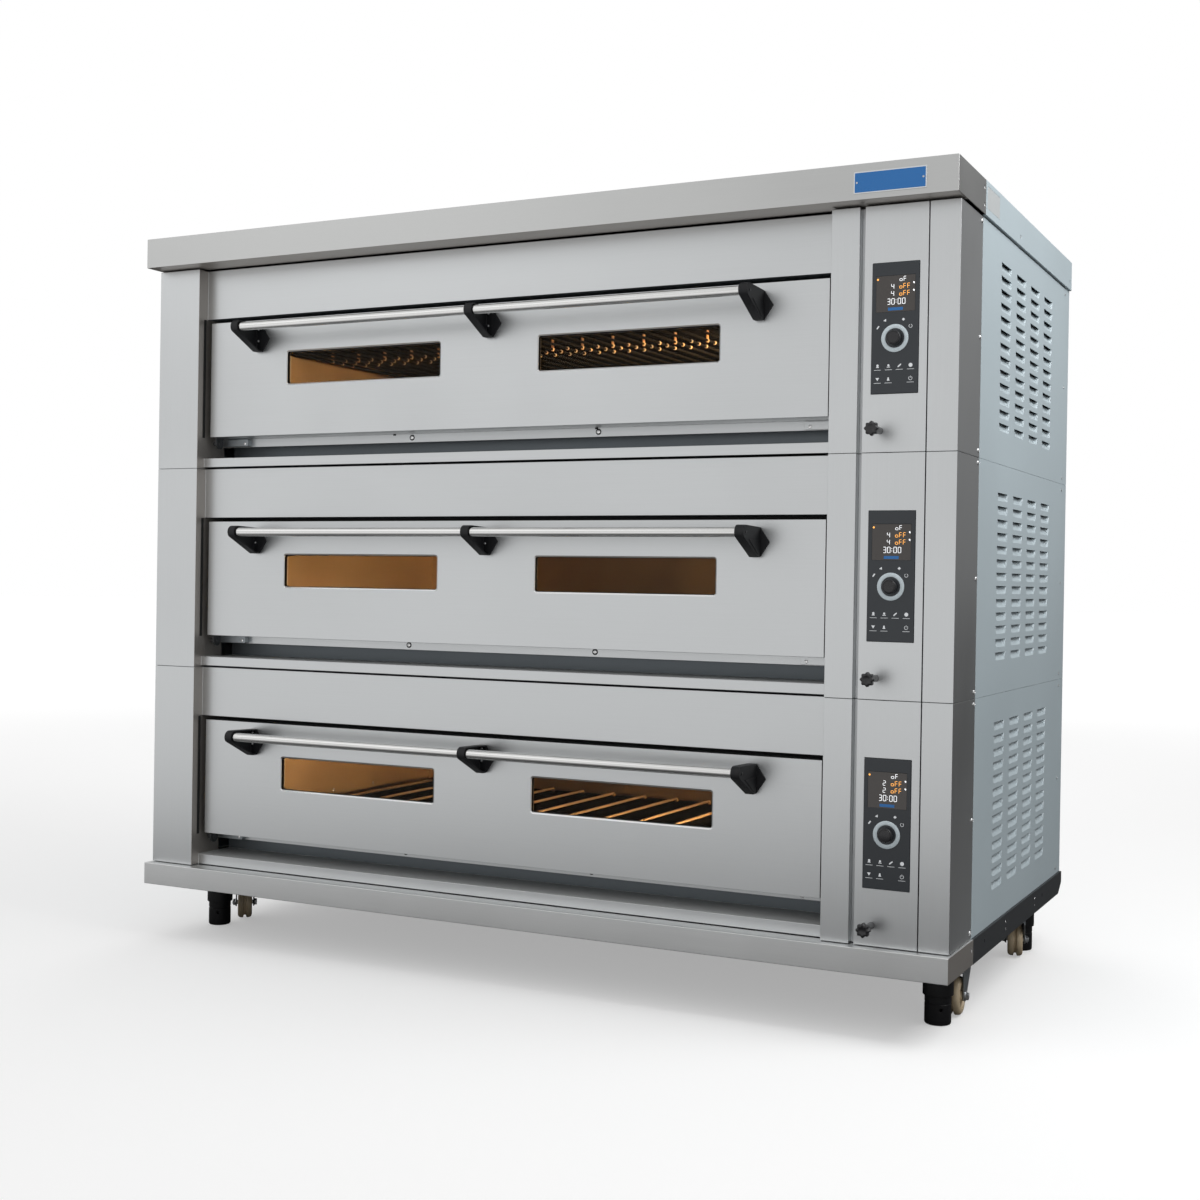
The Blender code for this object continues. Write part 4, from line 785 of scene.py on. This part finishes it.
    # The black strip across the chamber face fills the gap above the door with painted shade; the thin strips on the
    # jambs are seal lines.
    seals = [(X_JAMB_LEFT, X_JAMB_RIGHT, Y_FACE - 0.0008, Y_FACE + CLEAR / 2, seam + 0.331, fascia)]
    seals += [(x, x + 0.0006, Y_FRONT + 0.017, Y_FRONT + 0.025, seam + DOOR_BOTTOM - 0.002, fascia - 0.001)
              for x in (X_JAMB_LEFT, X_JAMB_RIGHT - 0.0006)]
    part("jamb_seals", grid_mesh(seals), gasket_rubber, "black_plastic", bevel=0.0002, segments=1)
    for label, side, facing in SIDES:
        spots = [(side * HALF, Y_RETURN - 0.0095, seam + h) for h in (0.0128, 0.226, 0.4447)]
        screws(f"{prefix}_corner_screws_{label}", spots, facing, radius=0.0042, rise=0.0024, material=screw_bright)


def build_chamber(seam, prefix):
    """Bright face, tinted liner with a near-black ceiling and floor as painted shade, both heater banks with clips and
    hangers, and the lamp.
    """
    part = deck_part(prefix)
    wall, gap, bend = 0.003, HAIRPIN_GAP, 0.0045
    x0, x1 = X_JAMB_LEFT + CAVITY_INSET, X_JAMB_RIGHT - CAVITY_INSET
    y0, y1 = Y_FACE + CLEAR, Y_FACE + CLEAR + CAVITY_DEPTH
    z0, z1 = seam + CAVITY_FLOOR, seam + CAVITY_TOP
    face = (X_JAMB_LEFT - 0.012, X_JAMB_RIGHT + 0.012, y0, y0 + SHEET, seam + FACE_RISE, seam + FASCIA + 0.012)
    part("chamber_face", grid_mesh([face], [(x0, x1, y0, y0 + SHEET, z0, z1)]), steel_x, "chamber_steel", "chamber",
         bevel=0.0007)
    shell = (x0 - wall, x1 + wall, y0 + SHEET, y1 + wall, z0 - wall, z1 + wall)
    # Ceiling and floor faces take the near-black liner: painted shade.
    part("chamber_liner", grid_mesh([shell], [(x0, x1, y0 + SHEET, y1, z0, z1)]), [liner, liner_painted_dark],
         "chamber_steel", "chamber", bevel=0.0012, choose=lambda centre, normal: 1 if abs(normal.z) > 0.5 else 0)
    y_near, y_far, y_wall = y0 + 0.050, y1 - 0.030, y1 - 0.0006
    z_low, z_high = z0 + 0.0275, z1 - 0.022
    hearth = (x0 + 0.0008, x1 - 0.0008, y0 + 0.004, y1 - 0.0008, z0 + 0.0005, z_low - 0.0085)
    part("hearth_plate", grid_mesh([hearth]), liner_painted_dark, "chamber_steel", bevel=0.0012)
    profile = [(y_near, z_low - 0.0084), *arc(y_near + bend, z_low - bend, bend, 180, 90, 6),
               *arc(y_far - bend, z_low - bend, bend, 90, 0, 6), (y_far, z_low - 0.0084)]
    first = X_DOOR - ROD_PITCH * 7.5 + 0.006
    rods = [swept([(first + ROD_PITCH * n, y, z) for y, z in profile], TUBE_RADIUS) for n in range(16)]
    clip = turned(mm((3.2, -2.2), (4, -2), (4.2, 0), (4, 2), (3.2, 2.2), (3.2, -2.2)), 1, segments=16)
    legs, hangers, clips = [], [], []
    for n in range(18):
        x = X_DOOR + HAIRPIN_PITCH * (n - 8.5)
        path = [(x - gap, y_wall), *arc(x, y_near + gap, gap, 180, 360, 12), (x + gap, y_wall)]
        legs.append(swept([(a, b, z_high) for a, b in path], TUBE_RADIUS))
        for y in (CLIP_ROWS[0], y_far - 0.030):
            hangers.append(grid_mesh([(x - gap - 0.0011, x - gap + 0.0011, y - 0.0048, y + 0.0048,
                                       z_high - 0.0045, z1 - 0.0002)]))
        clips += [moved(clip, (x + side, y, z_high)) for y in CLIP_ROWS for side in (-gap, gap)]
    part("floor_rods", merged(rods), tube_metal, "heating_tube", "heater_bottom", angle=60, tidy=False)
    # Ceiling hairpins in the near-black tube: painted shade.
    part("ceiling_hairpins", merged(legs), tube_painted_dark, "heating_tube", "heater_top", angle=60, tidy=False)
    # Clips coloured as painted glints.
    part("heater_clips", merged(clips), clip_painted_glint, "zinc", angle=50, tidy=False)
    # Hangers glow orange: painted warm light.
    part("heater_hangers", merged(hangers), strap_painted_glow, "chamber_steel", angle=50, tidy=False)
    screws(f"{prefix}_liner_screws_left", [(x0, y, z0 + 0.038) for y in (0.026, 0.199)], "+x", radius=0.0045)
    lens = turned(mm((0, -2), (30, -2), (30, 1), (26.5, 4), (18, 7.5), (9, 9.2), (0, 9.6)), 0, -1)
    collar = turned(mm((30.2, -1), (35, -1), (35, 3), (34, 4), (30.2, 4), (30.2, -1)), 0, -1)
    part("lamp_lens", moved(lens, (x1, Y_LAMP, seam + 0.200)), lamp_glass, "door_glass")
    part("lamp_collar", moved(collar, (x1, Y_LAMP, seam + 0.200)), zinc, "zinc")


def build_door(seam, prefix):
    """Door tray with windows, gaskets, inner sheet and pivots, and its handle."""
    part = deck_part(prefix, "door")
    x0, x1 = X_DOOR - DOOR_HALF, X_DOOR + DOOR_HALF
    y0, y1 = Y_DOOR, Y_DOOR + 0.060
    z0, z1 = seam + DOOR_BOTTOM, seam + DOOR_TOP
    w0, w1 = z0 + 0.114, z0 + 0.1865
    z_pivot, z_bar = z0 - PIVOT_DROP, seam + BAR_Z
    spans = [(X_DOOR + s - 0.2053, X_DOOR + s + 0.1987) for s in (-0.3215, 0.3215)]

    def window(span, grow, corner):
        """Outline of one window, grown on every side."""
        outline = rounded(span[0] - grow, span[1] + grow, w0 - grow, w1 + grow, corner)
        return [(z, x) for x, z in outline]

    cavity = (x0 + SHEET, x1 - SHEET, y0 + SHEET, y1 - SHEET, z0 + SHEET, z1 - SHEET)
    rear = (x0 + 0.030, x1 - 0.030, y1 - SHEET, y1, z0 + 0.030, z1 - 0.030)
    tray = part("door_tray", grid_mesh([(x0, x1, y0, y1, z0, z1)], [cavity, rear]), steel_x, "door_stainless", "door",
                bevel=0.0008)
    carved(tray, [prism(window(span, 0, 0.005), y0 - 0.002, y0 + 2 * SHEET, 1) for span in spans])
    carved(tray, [tapered(window(span, 0.003, 0.008), window(span, 0.0004, 0.0054), y0 - 0.0005, y0 + 0.0016, 1)
                  for span in spans])
    # Window bevels facing up take the near-white steel, a painted highlight; bevels facing down take the dim steel, a
    # painted shade.
    for item in (steel_lip, steel_painted_dim):
        tray.data.materials.append(item)
    for polygon in tray.data.polygons:
        if polygon.normal.y < -0.3 and abs(polygon.normal.z) > 0.3:
            polygon.material_index = 1 if polygon.normal.z > 0 else 2
    collars, gaskets = ([framed(window(span, grow, corner), window(span, grow - width, corner - width), y0 + near,
                                y0 + far, 1) for span in spans]
                        for grow, corner, width, near, far in ((0.002, 0.0068, 0.0018, 0.0016, 0.0098),
                                                               (-0.0002, 0.0048, 0.0013, 0.008, 0.010)))
    # Reveals stay steel along the bottom and are near black above and at the sides: painted dark reflection of the
    # shaded oven inside.
    part("window_collars", merged(collars), [steel_x, collar_black], "door_stainless", angle=40,
         choose=lambda centre, normal: 0 if centre.z < w0 + 0.0015 else 1)
    part("window_gaskets", merged(gaskets), gasket_rubber, "black_plastic", angle=40)
    inner = [(x0 + 0.026, x1 - 0.026, y1 - 0.0045, y1 - 0.003, z0 + 0.026, z1 - 0.026)]
    inner += [(a - 0.0345, b + 0.0345, y1 - 0.012, y1 - 0.003, w0 - 0.0135, w1 + 0.0075) for a, b in spans]
    cuts = [(a - 0.033, b + 0.033, y1 - 0.012, y1 - 0.003, w0 - 0.012, w1 + 0.006) for a, b in spans]
    part("door_inner", grid_mesh(inner, cuts), steel_x, "chamber_steel", bevel=0.0004, segments=2)
    spots = [(x, y1, z) for x in (x0 + 0.012, X_DOOR, x1 - 0.012) for z in (z0 + 0.014, z1 - 0.014)]
    screws(f"{prefix}_door_inner_screws", spots, "+y", f"{prefix}_door", 0.0034)
    ear = [(Y_PIVOT + 0.012, z0 + 0.001), (Y_PIVOT - 0.012, z0 + 0.001), *arc(Y_PIVOT, z_pivot, 0.012, 180, 360, 12)]
    pin = turned(mm((0, 0), (4.2, 0), (4.7, 0.5), (4.7, 21), (4.2, 21.5), (0, 21.5)), 0, segments=24)
    ears = [prism(ear, x, x + 0.004, 0) for x in (x0, x1 - 0.004)]
    ears += [moved(pin, (x, Y_PIVOT, z_pivot)) for x in (x0 - 0.0155, x1 - 0.006)]
    # Pivots in the very dark zinc: painted shade.
    part("door_pivots", merged(ears), zinc_dark, "zinc")
    end = [(0, BAR_HALF + 0.0085), (0.0085, BAR_HALF + 0.0085), (0.0095, BAR_HALF + 0.0075)]
    bar = turned([(r, -h) for r, h in end] + end[::-1], 0)
    part("handle_tube", moved(bar, (X_DOOR, BAR_Y, z_bar)), steel_bar, "handle_steel", "handle_bar")

    def wedge(edge, rise, radius, stop, steps, foot, drop):
        """Side outline of a bracket, round the bar in front and straight at the door."""
        return [(y0 - edge, z_bar + rise), (BAR_Y + 0.004, z_bar + radius), *arc(BAR_Y, z_bar, radius, 95, stop, steps),
                (y0 - foot, z_bar - drop), (y0 - edge, z_bar - drop)]

    outline = wedge(CLEAR, 0.012, 0.014, 225, 16, 0.014, 0.046)
    pocket = wedge(0.0033, 0.009, 0.0112, 222, 12, 0.015, 0.0425)
    facet = [(y0 - 0.006, z_bar - 0.013), (BAR_Y + 0.0135, z_bar - 0.013), (y0 - 0.0175, z_bar - 0.0405),
             (y0 - 0.006, z_bar - 0.0405)]
    plug = turned(mm((0, -1), (3, -1), (3, 0.6), (2.2, 1), (0, 1.1)), 0, segments=24)
    wing = GRIP_HALF + 0.019
    for label, offset in (("left", -BAR_HALF - GRIP_HALF), ("middle", 0), ("right", BAR_HALF + GRIP_HALF)):
        x = X_DOOR + offset
        near, far = x - GRIP_HALF, x + GRIP_HALF
        made = part(f"grip_{label}", prism(outline, near, far, 0), black_plastic, "black_plastic", f"bracket_{label}",
                    bevel=0.0012)
        flange = [(z_bar + h, a) for h, a in ((0.0115, near), (0.0115, far), (-0.017, x + wing), (-0.045, far),
                                              (-0.045, near), (-0.017, x - wing))]
        part(f"grip_flange_{label}", prism(flange, y0 - 0.003, y0 - CLEAR, 1), black_plastic, "black_plastic",
             bevel=0.001)
        if label == "right":
            part("grip_facet", prism(facet, far - 0.0005, far + 0.0012, 0), black_plastic, "black_plastic",
                 bevel=0.0009)
            part("grip_plug", moved(plug, (far, BAR_Y + 0.001, z_bar)), knob_plastic, "black_plastic")
        else:
            carved(made, [prism(pocket, near + 0.003, far + 0.002, 0)])
            spots = [(x - 0.002, y0 - 0.0033, z_bar + h) for h in (-0.0215, 0.0045)]
            screws(f"{prefix}_grip_screws_{label}", spots, "-y", f"{prefix}_door", 0.0026, 0.0022)


# ---------------------------------------------------------------- side panels


def louvre_panel(seam):
    """Sheet with four columns of thirteen louvres, each a curved scoop open along its top."""
    columns, rows, steps, rise = 4, 13, 20, 5
    length, high, deep = 0.089, 0.016, 0.0075
    side = (LOUVRE_COLUMN - length) / 2
    y_lines = [Y_RETURN + CLEAR, *(Y_RETURN + 0.157 - side + LOUVRE_COLUMN * c for c in range(columns + 1)),
               Y_BACK - 0.043 - CLEAR]
    z_lines = [seam + CLEAR, *(seam + 0.066 - LOUVRE_FOOT + LOUVRE_ROW * r for r in range(rows + 1)),
               seam + PITCH - CLEAR]
    vertices, faces, known = [], [], {}

    def face(*points):
        """Face between points that are stored once each."""
        ring = {}
        for point in points:
            key = tuple(round(value, 6) for value in point)
            if key not in known:
                known[key] = len(vertices)
                vertices.append(key)
            ring[known[key]] = True
        if len(ring) > 2:
            faces.append(tuple(ring))

    def flat(a, b, c, d):
        """Flat face between (y, z) places on the sheet."""
        face(*((HALF, y, z) for y, z in (a, b, c, d)))

    for i, (ya, yb) in enumerate(zip(y_lines, y_lines[1:])):
        parts = steps if 0 < i <= columns else 1
        edges = [ya + (yb - ya) * k / parts for k in range(parts + 1)]
        for j, (za, zb) in enumerate(zip(z_lines, z_lines[1:])):
            if parts == 1 or not 0 < j <= rows:
                for a, b in zip(edges, edges[1:]):
                    flat((a, za), (b, za), (b, zb), (a, zb))
                continue
            top = za + LOUVRE_FOOT + high
            grid = []
            for k in range(steps + 1):
                s = 2 * k / steps - 1
                bend = max(0.0, (abs(s) - 0.80) / 0.20)
                low = top - high * math.sqrt(max(0.0, 1 - bend ** 2.2))
                fade = 1 - max(0.0, (abs(s) - 0.86) / 0.14) ** 2
                grid.append([(HALF - deep * fade * math.sin(m / rise * math.pi / 2) ** 1.15,
                              (ya + yb) / 2 + s * length / 2, low + (top - low) * (m / rise)) for m in range(rise + 1)])
            for a, b, near, far in zip(edges, edges[1:], grid, grid[1:]):
                for m in range(rise):
                    face(near[m], far[m], far[m + 1], near[m + 1])
                flat((a, za), (b, za), far[0][1:], near[0][1:])
                flat((near[0][1], top), (far[0][1], top), (b, zb), (a, zb))
            face((HALF, ya, za), (HALF, ya + side, top), (HALF, ya, zb))
            face((HALF, yb, za), (HALF, yb, zb), (HALF, yb - side, top))
    return vertices, faces


def build_side(seam, prefix):
    """Louvred right side panel and its fixings."""
    made = deck_part(prefix)("louvred_panel", louvre_panel(seam), paint, "grey_paint", "side_panel", angle=40,
                             tidy=False)
    thick = made.modifiers.new("gauge", "SOLIDIFY")
    thick.thickness = 0.0015
    thick.offset = -1
    for polygon in made.data.polygons:
        polygon.use_smooth = any(abs(made.data.vertices[n].co.x - HALF) >= 1e-6 for n in polygon.vertices)
    spots = [(HALF, Y_BACK - 0.052, seam + h) for h in (0.014, 0.225, 0.441)]
    screws(f"{prefix}_side_screws", spots, "+x", radius=0.0034)


# ---------------------------------------------------------------- controls

SEGMENTS = {"0": "abcdef", "2": "abged", "3": "abgcd", "4": "fgbc", "o": "gced", "F": "afge"}


def tile(u0, u1, v0, v1):
    """Rectangular outline."""
    return [(u0, v0), (u1, v0), (u1, v1), (u0, v1)]


def word(text, u, v, width, height, stroke, pitch):
    """Row of seven-segment characters as small bars, lower left corner at (u, v)."""
    bars = {
        "a": (stroke, width - stroke, height - stroke, height),
        "g": (stroke, width - stroke, (height - stroke) / 2, (height + stroke) / 2),
        "d": (stroke, width - stroke, 0, stroke),
        "f": (0, stroke, height / 2, height - stroke / 2),
        "b": (width - stroke, width, height / 2, height - stroke / 2),
        "e": (0, stroke, stroke / 2, height / 2),
        "c": (width - stroke, width, stroke / 2, height / 2),
    }
    inset = stroke * 0.12
    made = []
    for letter in text:
        if letter == ":":
            made += [tile(u, u + stroke, v + height * level, v + height * level + stroke) for level in (0.30, 0.66)]
            u += pitch * 0.45
            continue
        for key in SEGMENTS[letter]:
            a, b, c, d = bars[key]
            made.append(tile(u + a + inset, u + b - inset, v + c + inset, v + d - inset))
        u += pitch
    return made


def disc(u, v, radius):
    """Round outline."""
    return arc(u, v, radius, 0, 342, 19)


def hoop(u, v, radius, start, stop):
    """Part of a thin ring as one outline."""
    return arc(u, v, radius, start, stop, 20) + arc(u, v, radius - 0.0008, stop, start, 20)


def build_controls(seam, prefix):
    """Charcoal panel with display, ring, encoder, key icons and the damper pull."""
    part = deck_part(prefix)
    x, y0, z0, z_knob = X_PANEL, Y_FRONT - 0.0015, seam + PANEL_RISE, seam + ENCODER_RISE
    body = (x - PANEL_HALF, x + PANEL_HALF, y0, Y_FRONT + 0.028, z0, z0 + PANEL_TALL)
    recess = (x - 0.037, x + 0.037, y0, y0 + 0.0008, z0 + 0.149, z0 + 0.216)
    made = part("panel_face", grid_mesh([body], [recess]), panel_film, "panel_plastic", "control_panel", bevel=0.0005)
    carved(made, [moved(rod(0.0034, -0.016, 0.016, 1), (x, y0, z_knob))])
    screen = raised([rounded(x - 0.0367, x + 0.0367, z0 + 0.1493, z0 + 0.2157, 0.0012)], y0 + 0.0009, 0.0004)
    part("display_glass", screen, display_glass, "panel_plastic", bevel=0.0001, segments=1)

    def mark(u, v, *spots):
        """Outline about a place on the panel, its spots in tenths of a millimetre."""
        return [(x + u + a / 10000, seam + v + b / 10000) for a, b in spots]

    white = word("oF", x + 0.007, seam + 0.3125, 0.0056, 0.009, 0.001, 0.0076)
    amber = []
    for v in (0.299, 0.286):
        white += word("2" if prefix == DECKS[0] else "4", x - 0.0085, seam + v, 0.0056, 0.0095, 0.001, 0.0076)
        amber += word("oFF", x + 0.0068, seam + v, 0.0056, 0.0095, 0.001, 0.0074)
    white += word("30:00", x - 0.016, seam + 0.2705, 0.0062, 0.0115, 0.0011, 0.0082)
    white += [mark(0, v, (325, 0), (350, -20), (355, 12), (330, 22)) for v in (0.3085, 0.2945)]
    amber.append(disc(x - 0.0338, seam + 0.3176, 0.0017))
    bar = rounded(x - 0.014, x + 0.014, seam + 0.2598, seam + 0.2652, 0.0006)
    first, second, third, fourth = columns = (-0.0318, -0.0112, 0.0095, 0.0303)
    z_upper, z_lower = seam + 0.1585, seam + 0.1345
    marks = [
        mark(0, 0.2425, (-222, -12), (-168, -26), (-172, 26)),
        mark(0, 0.2425, (156, -28), (186, 0), (156, 28), (126, 0)),
        mark(0, 0.2296, (-345, -30), (-330, -30), (-292, 20), (-312, 32), (-345, -10)),
        hoop(x + 0.029, seam + 0.2296, 0.0034, 110, 430),
        disc(x + first, z_upper + 0.0012, 0.0022),
        mark(first, 0.1585, (-30, -28), (30, -28), (22, -10), (-22, -10)),
        disc(x + second, z_upper + 0.001, 0.002),
        mark(second, 0.1585, (-32, -28), (32, -28), (32, -16), (-32, -16)),
        mark(third, 0.1585, (-34, -30), (-18, -30), (36, 18), (22, 34), (-34, -12)),
        disc(x + fourth, z_upper, 0.0036),
        *(mark(u, 0.151, *tile(-66, 66, 0, 7)) for u in columns),
        mark(first, 0.1345, (-34, 26), (0, -30), (34, 26)),
        disc(x + second, z_lower + 0.0014, 0.0016),
        mark(second, 0.1345, (-26, -30), (26, -30), (16, 0), (-16, 0)),
        hoop(x + fourth, z_lower, 0.0036, 120, 420),
        mark(fourth, 0.1345, *tile(-4, 4, 8, 44)),
        *(mark(u, 0.127, *tile(-66, 66, 0, 7)) for u in (first, second, fourth)),
    ]
    for name, outlines, y, rise, finish in (
        ("digits_white", white, y0 + 0.0005, 0.00025, glow_white),
        ("digits_amber", amber, y0 + 0.0005, 0.00025, glow_amber),
        ("display_bar", [bar], y0 + 0.0005, 0.00025, plate_blue),
        ("key_icons", marks, y0, 0.0002, glyph_dim),
    ):
        part(name, raised(outlines, y, rise), finish, "panel_plastic", tidy=False)
    ring = mm((18, -0.5), (18, 0.6), (19, 1), (24.5, 1), (25.5, 0.4), (25.5, -0.5), (18, -0.5))
    part("encoder_ring", moved(turned(ring, 1, -1, 64), (x, y0, z_knob)), ring_plastic, "panel_plastic")
    knob = mm((0, -12), (3, -12), (3, 0.4), (12.8, 0.4), (13.5, 1.2), (13.4, 9.8), (12.8, 11.2), (12, 12),
              (11.2, 12.2), (10.8, 11.8), (10.4, 11.8), (10, 12.3), (6, 12.9), (0, 13))
    part("encoder_cap", moved(turned(knob, 1, -1, 64), (x, y0, z_knob)), knob_plastic, "knob_plastic",
         "encoder_knob", "encoder")
    pull = mm((0, -75), (3.7, -75), (4, -74.5), (4, 0.4), (6.6, 0.4), (6.6, 36), (8, 39.5), (9.8, 41, 0.6),
              (11.6, 42.5, 1), (12.5, 45, 1), (12.5, 52, 1), (11.8, 54.6, 1), (9.8, 55.8, 0.7), (7, 56), (6.2, 55.2),
              (0, 55))
    part("damper_pull", moved(turned(pull, 1, -1, 96, 8, 0.0012), (X_DAMPER, Y_FRONT, seam + DAMPER_RISE)),
         knob_plastic, "knob_plastic", "damper_knob", "damper", angle=50)


# ---------------------------------------------------------------- stage


def softbox(name, place, aim, size, power, colour=(1, 1, 1), spread=180):
    """Rectangular area light aimed at a point."""
    light = bpy.data.lights.new(name, "AREA")
    light.spread = math.radians(spread)
    light.shape = "RECTANGLE"
    light.size, light.size_y = size
    light.energy = power
    light.color = colour
    item = placed(name, light)
    item.location = place
    item.rotation_euler = (Vector(aim) - Vector(place)).to_track_quat("-Z", "Y").to_euler()


def build_stage():
    """Floor, world, lights and camera."""
    floor_mesh = bpy.data.meshes.new("floor")
    work = bmesh.new()
    bmesh.ops.create_circle(work, cap_ends=True, segments=96, radius=60)
    work.to_mesh(floor_mesh)
    work.free()
    floor = placed("floor", floor_mesh)
    # Camera rays see a pale floor whose glow grows from 1.5 m to 9 m out: a fade into the white backdrop, and a painted
    # shade that keeps the floor darker near the oven. All other rays see a dark grey floor with a glow in front of the
    # oven, which sets how light or dark the lower steel looks in reflection: painted light and shade.
    pale = even("floor_pale", (0.62, 0.62, 0.62), 0.8, 40, 0.02, 0.01, blotch=0.5, blotch_tone=0.01,
                Specular_IOR_Level=0.1, Emission_Color=(1, 1, 1, 1))
    tree = pale.node_tree
    link = tree.links.new
    coord = node(tree, "ShaderNodeTexCoord").outputs["Object"]
    length = node(tree, "ShaderNodeVectorMath", operation="LENGTH")
    link(coord, length.inputs[0])
    shader = tree.nodes["Principled BSDF"]
    link(ramp(tree, length.outputs["Value"], 1.5, 9.0, 0.38, 0.62, "SMOOTHSTEP"), shader.inputs["Emission Strength"])
    bounce = node(tree, "ShaderNodeBsdfDiffuse", in_Color=(0.10, 0.10, 0.10, 1))
    glow = node(tree, "ShaderNodeEmission")
    ahead = along(tree, coord, (-0.26, -0.965, 0.0))
    link(ramp(tree, ahead, 0.6, 3.2, 0.0, 0.90, "SMOOTHSTEP"), glow.inputs["Strength"])
    both = node(tree, "ShaderNodeAddShader")
    link(bounce.outputs["BSDF"], both.inputs[0])
    link(glow.outputs["Emission"], both.inputs[1])
    blend = node(tree, "ShaderNodeMixShader")
    link(node(tree, "ShaderNodeLightPath").outputs["Is Camera Ray"], blend.inputs["Fac"])
    link(both.outputs["Shader"], blend.inputs[1])
    link(shader.outputs["BSDF"], blend.inputs[2])
    link(blend.outputs["Shader"], tree.nodes["Material Output"].inputs["Surface"])
    floor_mesh.materials.append(pale)
    floor.location.z = -0.0005

    world = bpy.data.worlds.new("studio")
    world.use_nodes = True
    bpy.context.scene.world = world
    tree = world.node_tree
    link = tree.links.new
    sky = tree.nodes["Background"]
    side = along(tree, node(tree, "ShaderNodeTexCoord").outputs["Generated"], (-0.45, -0.80, 0.40))
    seen = node(tree, "ShaderNodeMix", data_type="FLOAT")
    link(node(tree, "ShaderNodeLightPath").outputs["Is Camera Ray"], seen.inputs[0])
    link(ramp(tree, side, -0.9, 0.7, 0.22, 0.82, "SMOOTHSTEP"), seen.inputs[2])
    seen.inputs[3].default_value = 1.0
    link(seen.outputs[0], sky.inputs["Strength"])
    sky.inputs["Color"].default_value = (1, 1, 1, 1)

    softbox("key", (-2.6, -3.4, 3.0), (0, 0, 0.9), (2.4, 2.0), 6)
    softbox("right", (2.3, -0.2, 2.7), (0.9, 0, 1.4), (1.6, 1.6), 46)
    softbox("back", (-1.8, 3.6, 2.8), (0, 0.5, 0.9), (2.4, 1.8), 30)
    for deck in range(3):
        seam = Z_BASE + deck * PITCH
        softbox(f"oven_light_{deck}", (0.62, Y_LAMP, seam + 0.175), (-0.79, Y_LAMP, seam + 0.20), (0.05, 0.05), 9.0,
                (1.0, 0.62, 0.28), 100)

    camera = placed("camera", bpy.data.cameras.new("camera"))
    camera.data.sensor_width = 36.0
    camera.data.lens = 48.17
    camera.data.shift_x = -0.0067
    camera.data.shift_y = -0.0066
    aim = Euler((math.radians(90 - 0.31), 0, math.radians(26.62))).to_matrix()
    roll = Matrix.Rotation(math.radians(0.92), 3, "Z")
    camera.matrix_world = Matrix.Translation((1.6710, -3.3350, 0.8297)) @ (aim @ roll).to_4x4()
    bpy.context.scene.camera = camera
    bpy.context.scene.view_settings.view_transform = "Standard"


recoloured()
build_cap()
build_base()
build_rails()
build_feet()
build_casters()
build_casing()
for number, label in enumerate(DECKS):
    for build in (build_front, build_chamber, build_door, build_side, build_controls):
        build(Z_BASE + number * PITCH, label)
build_stage()
